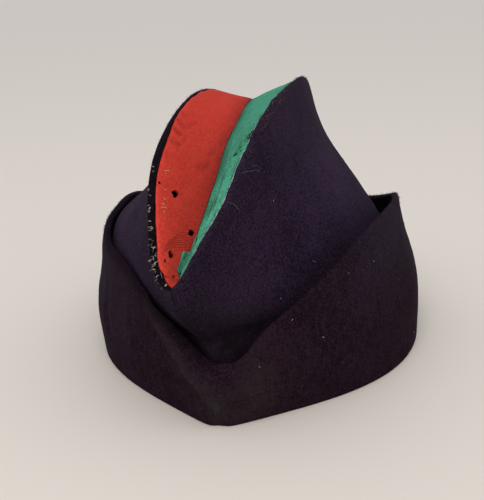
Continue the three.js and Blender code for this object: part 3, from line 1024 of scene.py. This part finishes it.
def felt_group():
    group = bpy.data.node_groups.new("felt_nap", "ShaderNodeTree")
    sockets = [("INPUT", "Color", FELT_COLOURS), ("INPUT", "Float", (*FELT_LAYERS, "Streaks")),
               ("OUTPUT", "Color", ("Colour",)), ("OUTPUT", "Float", ("Roughness", "Height"))]
    for way, kind, labels in sockets:
        for label in labels:
            group.interface.new_socket(label, in_out=way, socket_type="NodeSocket" + kind)
    got = group.nodes.new("NodeGroupInput").outputs
    give = group.nodes.new("NodeGroupOutput").inputs
    place = add_node(group, "TexCoord").outputs["Object"]
    upright = add_node(group, "VectorMath", {0: place, 1: UPRIGHT}, operation="MULTIPLY").outputs[0]
    grain = noise_at(group, place, **FELT_NOISES["grain"])
    blotch = noise_at(group, place, **FELT_NOISES["blotch"])
    broad = noise_at(group, place, **FELT_NOISES["broad"])
    strand = ranged(group, noise_at(group, place, **FELT_NOISES["strand"]), 0.56, 0.72)
    streak = sums(group, "SUBTRACT", noise_at(group, upright, **FELT_NOISES["streak"]), 0.5)
    tone = weighed(group, (grain, 0.65), (blotch, 0.12), (broad, 0.23))
    tone = ranged(group, tone, 0.41, 0.59)
    tone = weighed(group, (tone, 1), (strand, 0.18), (streak, got["Streaks"]))
    felt = mixed(group, tone, got["Deep"], got["Lit"])
    # Wear adds the lit colour: real wear, and painted light where the panels and the crease were made
    # lighter.
    rubbed = sums(group, "MULTIPLY", got["Wear"], ranged(group, grain, 0.35, 0.65, 0.3, 0.6))
    felt = mixed(group, sums(group, "MULTIPLY", rubbed, 0.8), felt, got["Lit"], "ADD")
    # Dust mixes in the dust colour: real dust, and painted shade in folds, grooves, wrinkles and the
    # gusset's valley.
    dust_and_shade = sums(group, "MULTIPLY", got["Dust"], ranged(group, blotch, 0.35, 0.62, 0.45, 1))
    felt = mixed(group, dust_and_shade, felt, got["Dust colour"])
    stain = mixed(group, 1.0, got["Stain colour"], ranged(group, tone, 0, 1, 0.6, 1.4), "MULTIPLY")
    felt = mixed(group, got["Stain"], felt, stain)
    group.links.new(mixed(group, got["Shade"], felt, BLACK), give["Colour"])
    group.links.new(ranged(group, grain, 0.3, 0.7, 0.85, 0.98), give["Roughness"])
    group.links.new(weighed(group, (grain, 0.6), (blotch, 0.4), (strand, 0.25)), give["Height"])
    return group


FELT_NAP = felt_group()
print("felt group has", len(FELT_NAP.nodes), "nodes")

# %% [markdown]
# ## The felts
# Navy, red and green differ only in their colours and in how strongly the wool catches light at a
# glancing angle. The curtain's navy has gone browner than the crown's, so it has a row of its own.
# The soft glow at the edges is the shader's sheen, which is the same all over a piece and so is
# set on the shader itself.

# %% Felt materials
FELTS = [
    dict(finish="navy_felt", deep=(0.0100, 0.0050, 0.0125), lit=(0.030, 0.0180, 0.037),
         dust=(0.0085, 0.0056, 0.0074), stain=(0.004, 0.003, 0.004), streaks=0.3,
         sheen=0.012, sheen_tint=(0.75, 0.65, 0.9)),
    dict(finish="brown_navy_felt", deep=(0.0065, 0.0025, 0.0050), lit=(0.0230, 0.0110, 0.0205),
         dust=(0.028, 0.0228, 0.0210), stain=(0.023, 0.0155, 0.0275), streaks=1.0,
         sheen=0.01, sheen_tint=(0.75, 0.6, 0.8)),
    # On the red and the green the dust colour mostly paints shade in the valley, creases and wrinkles, and
    # the near-black stain colour paints shade in the moth holes.
    dict(finish="red_felt", deep=(0.47, 0.034, 0.024), lit=(0.57, 0.052, 0.036),
         dust=(0.27, 0.028, 0.022), stain=(0.02, 0.004, 0.003), streaks=0,
         sheen=0.03, sheen_tint=(1.0, 0.5, 0.4)),
    dict(finish="green_felt", deep=(0.036, 0.205, 0.125), lit=(0.074, 0.345, 0.228),
         dust=(0.03, 0.09, 0.065), stain=(0.003, 0.010, 0.008), streaks=0,
         sheen=0.04, sheen_tint=(0.5, 1.0, 0.8)),
]
SHEEN_ROUGHNESS = 0.45
FELT_SPECULAR = 0.02
BUMP_STRENGTH = 0.55
BUMP_MM = 0.45


def felt_material(row):
    material = bpy.data.materials.new(row["finish"])
    material.use_nodes = True
    tree = material.node_tree
    shader = tree.nodes["Principled BSDF"]
    shader.inputs["Sheen Weight"].default_value = row["sheen"]
    shader.inputs["Sheen Roughness"].default_value = SHEEN_ROUGHNESS
    shader.inputs["Sheen Tint"].default_value = (*row["sheen_tint"], 1)
    shader.inputs["Specular IOR Level"].default_value = FELT_SPECULAR
    nap = add_node(tree, "Group", node_tree=FELT_NAP)
    nap.inputs["Streaks"].default_value = row["streaks"]
    for label in FELT_COLOURS:
        nap.inputs[label].default_value = (*row[label.split()[0].lower()], 1)
    for label in FELT_LAYERS:
        layer = add_node(tree, "Attribute", attribute_name=label.lower())
        tree.links.new(layer.outputs["Fac"], nap.inputs[label])
    bump = add_node(tree, "Bump", {"Strength": BUMP_STRENGTH, "Distance": BUMP_MM * MM,
                                   "Height": nap.outputs["Height"]})
    tree.links.new(nap.outputs["Colour"], shader.inputs["Base Color"])
    tree.links.new(nap.outputs["Roughness"], shader.inputs["Roughness"])
    tree.links.new(bump.outputs["Normal"], shader.inputs["Normal"])
    return material


materials = {row["finish"]: felt_material(row) for row in FELTS}
print("materials:", sorted(materials))

# %% [markdown]
# ## Putting the felt in place
# Each finished piece gets its material, rides on the cap's one body, and stands for its plain
# solid. The table also gives the size that each piece was cut to and how it is held, which
# nothing here reads. The area of one face is printed, measured as half the area of its two faces.

FELT_PIECES = [
    dict(piece=left_panel, node="side_panel_left", slot="navy_felt", finish="navy_felt",
         flat=(0.26, 0.17), held="stretched"),
    dict(piece=right_panel, node="side_panel_right", slot="navy_felt", finish="navy_felt",
         flat=(0.26, 0.17), held="stretched"),
    dict(piece=curtain, node="curtain", slot="navy_felt", finish="brown_navy_felt",
         flat=(0.62, 0.078), held="folded"),
    dict(piece=red_gusset, node="gusset_red", slot="red_felt", finish="red_felt",
         flat=(0.26, 0.034), held="folded"),
    dict(piece=green_gusset, node="gusset_green", slot="green_felt", finish="green_felt",
         flat=(0.26, 0.034), held="folded"),
]
for row in FELT_PIECES:
    piece = row["piece"]
    piece.data.materials.append(materials[row["finish"]])
    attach(piece, "root")
    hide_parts(row["node"])
    area = sum(face.area for face in piece.data.polygons) / 2
    print(piece.name, "one face has", round(area * 1e4), "square cm")

# %% [markdown]
# ## Strands
# Thread, hair, lint and the fuzz of a worn edge are all thin strands. Each one here is a tube with
# three sides that comes to a point at both ends. There are far too many to place by hand, so all
# the strands of one kind are one mesh, built from arrays of points, and the chance numbers are
# seeded so that they fall the same way every time.


# %% Strand tools
STRAND_SIDES = 3
STRAND_STEPS = 6
STRAND_ROUGHNESS = 0.85
STRAND_SPECULAR = 0.1
STRAND_BLOTCH = 420
REFERENCE = np.array([0.31, 0.47, 0.83])
FIBRE_BEND = 0.4
FIBRE_ARCH = 0.16
FIBRE_ROOT = 0.05
LINT_RADII = (0.24, 0.1, 0.1, 0.1, 0.1, 0.1, 0.1, 0.12, 0.1, 0.08)
FIBRE_KINDS = {
    "loose_thread": dict(length=(1.0, 2.6), stand=(0.05, 0.5), radius=0.08, tone="thread"),
    "lint": dict(length=(0.6, 1.1), stand=(0, 0.2), radius=LINT_RADII, tone="lint"),
    "loose_dust": dict(length=(0.6, 2.0), stand=(0, 0.3), radius=0.045, tone="dust"),
    "navy_fuzz": dict(length=(0.5, 1.5), stand=(0.2, 0.9), radius=0.045, tone="navy"),
    "green_fringe": dict(length=(0.7, 2.0), stand=(0.1, 0.7), radius=0.055, tone="green"),
    "torn_fringe": dict(length=(0.6, 1.6), stand=(0.1, 0.7), radius=0.07, tone="green"),
    "tan_flecks": dict(length=(0.5, 1.4), stand=(0.1, 0.5), radius=0.11, tone="tan"),
    "red_fuzz": dict(length=(0.5, 1.6), stand=(0, 0.4), radius=0.05, tone="red"),
}
STRAND_TONES = {
    "thread": ((0.13, 0.11, 0.085), (0.43, 0.38, 0.31)),
    "yellow": ((0.42, 0.26, 0.09), (0.72, 0.52, 0.24)),
    "hair": ((0.10, 0.085, 0.085), (0.26, 0.23, 0.22)),
    "lint": ((0.36, 0.32, 0.30), (0.75, 0.71, 0.68)),
    "dust": ((0.045, 0.034, 0.038), (0.14, 0.115, 0.11)),
    "crease": ((0.034, 0.024, 0.034), (0.080, 0.064, 0.074)),
    "ripple_shade": ((0.13, 0.016, 0.013), (0.26, 0.036, 0.026)),
    "navy": ((0.020, 0.012, 0.024), (0.060, 0.043, 0.072)),
    "green": ((0.07, 0.26, 0.17), (0.38, 0.60, 0.48)),
    "pale": ((0.22, 0.34, 0.27), (0.66, 0.74, 0.66)),
    "tan": ((0.07, 0.045, 0.03), (0.20, 0.13, 0.085)),
    "red": ((0.40, 0.04, 0.025), (0.62, 0.11, 0.08)),
}


def strand_material(name, dark, light):
    material = bpy.data.materials.new(name + "_strands")
    material.use_nodes = True
    tree = material.node_tree
    shader = tree.nodes["Principled BSDF"]
    shader.inputs["Roughness"].default_value = STRAND_ROUGHNESS
    shader.inputs["Specular IOR Level"].default_value = STRAND_SPECULAR
    place = add_node(tree, "TexCoord").outputs["Object"]
    share = ranged(tree, noise_at(tree, place, STRAND_BLOTCH), 0.35, 0.65)
    tree.links.new(mixed(tree, share, (*dark, 1), (*light, 1)), shader.inputs["Base Color"])
    return material


def strand_mesh(name, paths, radii, tone):
    """Builds one mesh of many tubes; paths holds the points of each, radii its thickness in mm."""
    paths = np.asarray(paths, float)
    count, steps = paths.shape[:2]
    ways = unit(np.gradient(paths, axis=1))[:, 1:-1]
    aside = unit(np.cross(REFERENCE, ways))
    above = np.cross(ways, aside)
    turn = 2 * np.pi * np.arange(STRAND_SIDES)[:, None] / STRAND_SIDES
    rings = np.cos(turn) * aside[:, :, None] + np.sin(turn) * above[:, :, None]
    rings = paths[:, 1:-1, None] + rings * (np.broadcast_to(radii, count) * MM)[:, None, None, None]
    points = np.concatenate([paths[:, :1], rings.reshape(count, -1, 3), paths[:, -1:]], axis=1)
    tip = (steps - 2) * STRAND_SIDES + 1
    faces = []
    for k in range(STRAND_SIDES):
        n = (k + 1) % STRAND_SIDES
        faces += [(0, 1 + n, 1 + k), (tip, tip - STRAND_SIDES + k, tip - STRAND_SIDES + n)]
        for ring in range(1, tip - STRAND_SIDES, STRAND_SIDES):
            far = ring + STRAND_SIDES
            faces.append((ring + k, ring + n, far + n, far + k))
    firsts = range(0, count * (tip + 1), tip + 1)
    every = [tuple(first + corner for corner in face) for first in firsts for face in faces]
    mesh = bpy.data.meshes.new(name)
    mesh.from_pydata(points.reshape(-1, 3), [], every)
    piece = bpy.data.objects.new(name, mesh)
    bpy.context.scene.collection.objects.link(piece)
    take(piece)
    bpy.ops.object.shade_smooth()
    mesh.materials.append(strand_materials[tone])
    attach(piece, "root")
    print(name, count, "strands,", len(mesh.polygons), "faces")


def lay_on(surface, points, lift):
    """Sets points down on the nearest place of a surface, lifted off it by some mm."""
    laid = []
    for point, height in zip(points, np.broadcast_to(lift, len(points))):
        spot, way, _, _ = surface.find_nearest(Vector(point))
        laid.append(np.array(spot + way * height * MM))
    return np.array(laid)


def fibres(surface, spots, length, stand, chance):
    """Paths of short curved fibres rooted at spots of a surface; stand 0 lies flat, 1 stands up."""
    steps = np.linspace(0, 1, STRAND_STEPS)[:, None]
    paths = []
    for spot in spots:
        foot, way, _, _ = surface.find_nearest(Vector(spot))
        up = np.array(way)
        flat = unit(np.cross(up, chance.normal(size=3)))
        bend = np.cross(up, flat) * chance.normal(0, FIBRE_BEND)
        size = chance.uniform(*length) * MM
        lean = chance.uniform(*stand)
        arch = (FIBRE_ARCH * np.sin(np.pi * steps) - FIBRE_ROOT) * MM
        path = np.array(foot) + (flat * (1 - lean) * steps + bend * steps**2) * size
        paths.append(path + up * (lean * size * steps + arch))
    return np.array(paths)


def fibre_mesh(name, beds, chance):
    """One mesh of all the fibres of some beds; a bed is a surface and the spots they grow from."""
    kind = FIBRE_KINDS[name]
    paths = [fibres(surface, spots, kind["length"], kind["stand"], chance) for surface, spots in beds]
    strand_mesh(name, np.concatenate(paths), kind["radius"], kind["tone"])


def beside_crest(along, side, aside, below=0):
    """Places beside a panel's crest, in mm aside, out from the panel, and below, down its face."""
    rim, out, down = crest_frame(along, side)
    return rim + (out * np.reshape(aside, (-1, 1)) + down * np.reshape(below, (-1, 1))) * MM


strand_materials = {name: strand_material(name, *tones) for name, tones in STRAND_TONES.items()}
left_face = surface_of(left_panel)
right_face = surface_of(right_panel)
panel_faces = {1: left_face, -1: right_face}
curtain_face = surface_of(curtain)
red_face = surface_of(red_gusset)
green_face = surface_of(green_gusset)
print("strand materials:", len(strand_materials))

# %% [markdown]
# ## Whip stitches
# The hem of the wearer's right panel was sewn to the gusset by hand, with pale thread going over
# and over the folded edge. Each stitch is one strand that starts in the outer face, passes over
# the hem and ends in the inner side. Some are lost, and near the tip they have worked loose, with
# tufts and loops of thread between them.

# %% Whip stitches
STITCH_RUN = (0.006, 0.235)
STITCH_FIRST = 0.8
STITCH_APART = 2.7
STITCH_DRIFT = 0.5
STITCH_LOST = 0.2
STITCH_LONG = (0.9, 2.0)
STITCH_MIDDLE = (-2.6, 0.3)
STITCH_SLANT = (0.2, 0.5)
STITCH_STAND = dict(middle=0.26, ends=1.6)
STITCH_RADII = (0.22, 0.42)
LOOSE_BELOW = 0.1
LOOSE_BY = dict(tip=0.9, above=0.15)
TUFTS = dict(count=26, run=(0.012, 0.11), aside=(-0.3, 3))
LOOPS = [
    dict(along=0.152, aside=-0.6, size=0.6),
    dict(along=0.122, aside=-1.0, size=1.2),
    dict(along=0.070, aside=-0.6, size=1.3),
    dict(along=0.056, aside=-1.2, size=0.9),
    dict(along=0.034, aside=-0.8, size=0.8),
]
LOOP_TURN = (0.4, 5.6, 12)
LOOP_RADIUS = 0.17


def whip_stitches(chance):
    fine = np.linspace(*STITCH_RUN, 500)
    rim = crest_frame(fine, -1)[0]
    run = np.concatenate([[0], np.cumsum(np.linalg.norm(np.diff(rim, axis=0), axis=1))]) / MM
    marks = np.arange(STITCH_FIRST, run[-1], STITCH_APART)
    marks = marks[chance.uniform(size=len(marks)) > STITCH_LOST]
    place = np.interp(marks + chance.normal(0, STITCH_DRIFT, len(marks)), run, fine)
    rim, out, down = crest_frame(place, -1)
    way = unit(np.cross(out, down))
    count = len(place)
    middle, half = chance.uniform(*STITCH_MIDDLE, count), chance.uniform(*STITCH_LONG, count) / 2
    slant = chance.normal(*STITCH_SLANT, count)
    at_tip, above = (chance.uniform(0, LOOSE_BY[part], count) for part in ("tip", "above"))
    loose = np.where(place < LOOSE_BELOW, at_tip, above)
    rows = []
    for share in np.linspace(-1, 1, STRAND_STEPS):
        aside = middle + half * share
        points = rim + (out * aside[:, None] - down * 0.3 + way * (slant * share)[:, None]) * MM
        stand = STITCH_STAND["middle"] * (1 - STITCH_STAND["ends"] * share**2)
        rows.append(lay_on(right_face, points, stand + loose * (1 - share**2)))
    return np.stack(rows, 1)


def thread_loop(along, aside, size):
    rim, out, down = (part[0] for part in crest_frame(np.array([along]), -1))
    way = unit(np.cross(out, down))
    turn = np.linspace(*LOOP_TURN)[:, None]
    ring = rim + (out * (aside + size * np.cos(turn)) + way * size * np.sin(turn)) * MM
    return lay_on(right_face, ring, 0.2 + 0.1 * np.sin(3 * turn[:, 0]))


chance = np.random.default_rng(17)
stitch_paths = whip_stitches(chance)
strand_mesh("whip_stitches", stitch_paths, chance.uniform(*STITCH_RADII, len(stitch_paths)), "thread")
along = chance.uniform(*TUFTS["run"], TUFTS["count"])
tufts = beside_crest(along, -1, -chance.uniform(*TUFTS["aside"], TUFTS["count"]))
fibre_mesh("loose_thread", [(right_face, tufts)], chance)
strand_mesh("thread_loops", [thread_loop(**loop) for loop in LOOPS], LOOP_RADIUS, "thread")

# %% [markdown]
# ## Stray stitches, hairs and lint
# A few ends of the same thread were left standing in the red felt. Two hairs lie on the left
# panel, and there are specks of lint on the navy. A hair is drawn through a handful of places on
# the sheet, each given by its two numbers.

# %% Stray stitches, hairs and lint
STRAY_PLACES = [(0.166, 0.78), (0.172, 0.81), (0.175, 0.76), (0.179, 0.80), (0.190, 0.77),
                (0.207, 0.79), (0.236, 0.83), (0.240, 0.85), (0.242, 0.81)]
STRAY_LONG = 1.5
STRAY_RADIUS = 0.19
HAIRS = [
    [(0.187, 0.988), (0.200, 0.968), (0.212, 0.946), (0.230, 0.919), (0.239, 0.900),
     (0.241, 0.912), (0.235, 0.927), (0.226, 0.94), (0.220, 0.950)],
    [(0.139, 0.996), (0.148, 0.968), (0.157, 0.942), (0.163, 0.922), (0.167, 0.903),
     (0.170, 0.89), (0.172, 0.880)],
]
HAIR_STEPS = 25
HAIR_RADIUS = 0.06
CURTAIN_LINT = [(0.206, 0.573), (0.311, 0.864), (0.106, 0.653), (0.162, 0.889), (0.437, 0.116),
                (0.257, 0.930)]
PANEL_LINT = [(0.269, 0.523), (0.271, 0.513), (0.202, 0.432), (0.251, 0.784)]


def through(places, steps):
    """The two numbers of places spaced evenly along a line through some others."""
    knots, shares = np.linspace(0, 1, len(places)), np.linspace(0, 1, steps)
    return [np.interp(shares, knots, part) for part in np.array(places).T]


def stray_stitch(spot, chance):
    foot, way, _, _ = red_face.find_nearest(Vector(spot))
    way = np.array(way)
    over = np.array([1, 0.2 + chance.normal(0, 0.45), chance.normal(0, 0.45)])
    over = unit(over - way * (over @ way))
    share = np.linspace(-0.5, 0.5, STRAND_STEPS)[:, None]
    length = chance.uniform(0.8, 1.3) * STRAY_LONG
    return np.array(foot) + (over * share * length + way * (0.2 - 1.6 * share**2)) * MM


stray_spots = gusset_point(*np.array(STRAY_PLACES).T, -1)
strays = [stray_stitch(spot, chance) for spot in stray_spots]
strand_mesh("stray_stitches", strays, STRAY_RADIUS, "yellow")
hair_lift = 0.3 + 0.2 * np.sin(9 * np.linspace(0, 1, HAIR_STEPS))
hairs = [felt_point(CROWN_LINES, *through(hair, HAIR_STEPS), 1) for hair in HAIRS]
strand_mesh("hairs", [lay_on(left_face, hair, hair_lift) for hair in hairs], HAIR_RADIUS, "hair")
lint_beds = [(curtain_face, on_curtain(*np.array(CURTAIN_LINT).T)),
             (left_face, felt_point(CROWN_LINES, *np.array(PANEL_LINT).T, 1))]
fibre_mesh("lint", lint_beds, chance)

# %% [markdown]
# ## Dust
# Pale dust clings to the crease at the front of the curtain in short streaks, and loose fibres lie
# all over the navy. The beds of fibres are made one at a time, each just before its fibres, so that
# the chance numbers are always used in the same order.

# %% Dust
STREAKS = dict(count=22, start=(0, 0.9), span=(0.02, 0.08), aside=0.012, radius=(0.04, 0.09))
STREAK_SHAKE = dict(around=0.001, up=0.006)
STREAK_SLOPE = 4
DUST_COUNT = dict(curtain=300, panel=240)


def crease_streaks(chance):
    count = STREAKS["count"]
    crease_around, crease_up = np.array(LONG_CREASE["line"]).T
    knots = np.arange(len(crease_around))
    start, span = (chance.uniform(*STREAKS[part], count) for part in ("start", "span"))
    aside = chance.normal(0, STREAKS["aside"], count)
    rows = []
    for step in np.linspace(0, 1, STRAND_STEPS):
        share = (start + step * span) * knots[-1]
        around = np.interp(share, knots, crease_around) + aside
        around = around + chance.normal(0, STREAK_SHAKE["around"], count)
        up = np.interp(share, knots, crease_up) + aside * STREAK_SLOPE
        up = up + chance.normal(0, STREAK_SHAKE["up"], count)
        rows.append(lay_on(curtain_face, on_curtain(around, up), 0.02))
    return np.stack(rows, 1)


def dust_beds(chance):
    count = DUST_COUNT["curtain"]
    yield curtain_face, on_curtain(chance.uniform(-0.7, 0.7, count), chance.uniform(0.03, 1, count))
    count = DUST_COUNT["panel"]
    for side, face in panel_faces.items():
        along, up = chance.uniform(0.02, 0.9, count), chance.uniform(0.45, 1, count)
        yield face, felt_point(CROWN_LINES, along, up, side)


streak_paths = crease_streaks(chance)
strand_mesh("crease_streaks", streak_paths, chance.uniform(*STREAKS["radius"], STREAKS["count"]), "crease")
fibre_mesh("loose_dust", dust_beds(chance), chance)

# %% [markdown]
# ## Fuzz and fringe
# Worn felt sheds fibres. Short navy fuzz softens the crests and the hem. The green felt is fringed
# where it is sewn in and along the torn edge of its flap, with pale ends of thread between it and
# the navy, and tan flecks of old thread sit along the left crest.

# %% Fuzz and fringe
FUZZ_COUNT = dict(crest=900, hem=1500)
FRINGE_COUNT = dict(edge=260, flap=26)
PALE_EDGE = dict(count=130, middle=0.14, spread=0.05, within=(0.055, 0.265), radius=0.1)
TAN_FLECKS = dict(count=80, middle=0.335, spread=0.05, within=(0.2, 0.44))


def gathered(row, chance):
    """Stations along a crest that gather about one of them."""
    return np.clip(chance.normal(row["middle"], row["spread"], row["count"]), *row["within"])


def fuzz_beds(chance):
    count = FUZZ_COUNT["crest"]
    for side, face in panel_faces.items():
        along = chance.uniform(0, 1, count)
        aside, below = chance.uniform(-3, 0.2, count), chance.uniform(-0.2, 1, count)
        yield face, beside_crest(along, side, aside, below)
    count = FUZZ_COUNT["hem"]
    yield curtain_face, on_curtain(chance.uniform(-1, 1, count), chance.uniform(0.95, 1, count))


def pale_edge(chance):
    along = gathered(PALE_EDGE, chance)
    rows = []
    for step in np.linspace(0, 1, STRAND_STEPS):
        further = along + step * chance.uniform(0.006, 0.011)
        aside = PANEL_HEM[1] + chance.normal(0.05, 0.16, len(along))
        points = beside_crest(further, 1, -aside, chance.uniform(0, 0.5, len(along)))
        rows.append(lay_on(left_face, points, 0.12))
    return np.stack(rows, 1)


fibre_mesh("navy_fuzz", fuzz_beds(chance), chance)
count = FRINGE_COUNT["edge"]
fringe = gusset_point(chance.uniform(0.0, 0.30, count), chance.uniform(0.85, 1.0, count), 1)
fibre_mesh("green_fringe", [(green_face, fringe)], chance)
strand_mesh("pale_edge", pale_edge(chance), PALE_EDGE["radius"], "pale")
along = flap_along(chance.uniform(0.7, 0.98, FRINGE_COUNT["flap"]))
fibre_mesh("torn_fringe", [(green_face, gusset_point(along, flap_reach(along), -1))], chance)
count = TAN_FLECKS["count"]
along = gathered(TAN_FLECKS, chance)
flecks = beside_crest(along, 1, chance.uniform(-1.5, 0.2, count), chance.uniform(0, 4, count))
fibre_mesh("tan_flecks", [(left_face, flecks)], chance)

# %% [markdown]
# ## Shade strands on the red
# Beside the flap the nap of the red felt is gone and it lies in fine ripples. A few dark strands
# next to each other are painted shade in the grooves between the ripples. They are lines between
# the same two edges, each a little further along than the last. The rest of the red has a light fuzz.

# %% Ripple shade strands and red fuzz
RIPPLE_SHADE_LINES = [
    [(0.083 + 0.007 * k, 0.85 - 0.04 * k), (0.105 + 0.005 * k, 0.62 - 0.02 * k),
     (0.130 + 0.005 * k, 0.36), (0.152 + 0.005 * k, 0.13)]
    for k in range(7)
]
RIPPLE_SHADE_STEPS = 14
RIPPLE_SHADE_RADIUS = 0.1
RED_FUZZ_COUNT = 260
# Painted shade: dark strands lie in the grooves of the red's ripples.
ripple_shade = [gusset_point(*through(line, RIPPLE_SHADE_STEPS), -1) for line in RIPPLE_SHADE_LINES]
strand_mesh("ripple_shade_strands", [lay_on(red_face, line, 0.01) for line in ripple_shade], RIPPLE_SHADE_RADIUS, "ripple_shade")
along, out = chance.uniform(0.03, 0.5, RED_FUZZ_COUNT), chance.uniform(0.05, 1, RED_FUZZ_COUNT)
fibre_mesh("red_fuzz", [(red_face, gusset_point(along, out, -1))], chance)

# %% [markdown]
# ## Floor and light
# A pale floor under soft light from above and a little from the left, as in a bright room. The
# sky gives the even part of the light, and one large lamp gives the direction.

# %% Floor, lamp and sky
FLOOR_SIZE = 80
FLOOR_COLOUR = (0.80, 0.735, 0.67, 1)
FLOOR_ROUGHNESS = 0.7
LAMP_PLACE = Vector((0.12, -1.1, 1.15))
LAMP_AIM = Vector((0, 0, 0.06))
LAMP_SIZE = 1.1
LAMP_POWER = 8
LAMP_COLOUR = (1.0, 0.96, 0.91)
SKY_COLOUR = (0.97, 0.98, 1.0, 1)
SKY_STRENGTH = 0.75

bpy.ops.object.select_all(action="DESELECT")
bpy.ops.mesh.primitive_plane_add(size=FLOOR_SIZE)
floor = bpy.context.object
floor.name = "floor"
floor_material = bpy.data.materials.new("pale_floor")
floor_material.use_nodes = True
floor_shader = floor_material.node_tree.nodes["Principled BSDF"]
floor_shader.inputs["Base Color"].default_value = FLOOR_COLOUR
floor_shader.inputs["Roughness"].default_value = FLOOR_ROUGHNESS
floor.data.materials.append(floor_material)

bpy.ops.object.light_add(type="AREA", location=LAMP_PLACE)
lamp = bpy.context.object
lamp.name = "soft_lamp"
lamp.data.shape = "DISK"
lamp.data.size = LAMP_SIZE
lamp.data.energy = LAMP_POWER
lamp.data.color = LAMP_COLOUR
lamp.rotation_euler = (LAMP_AIM - LAMP_PLACE).to_track_quat("-Z", "Y").to_euler()

world = bpy.data.worlds.new("soft_sky")
bpy.context.scene.world = world
world.use_nodes = True
sky = world.node_tree.nodes["Background"].inputs
sky["Color"].default_value = SKY_COLOUR
sky["Strength"].default_value = SKY_STRENGTH
bpy.context.scene.view_settings.view_transform = "Standard"
print("lamp", LAMP_POWER, "W, sky", SKY_STRENGTH)
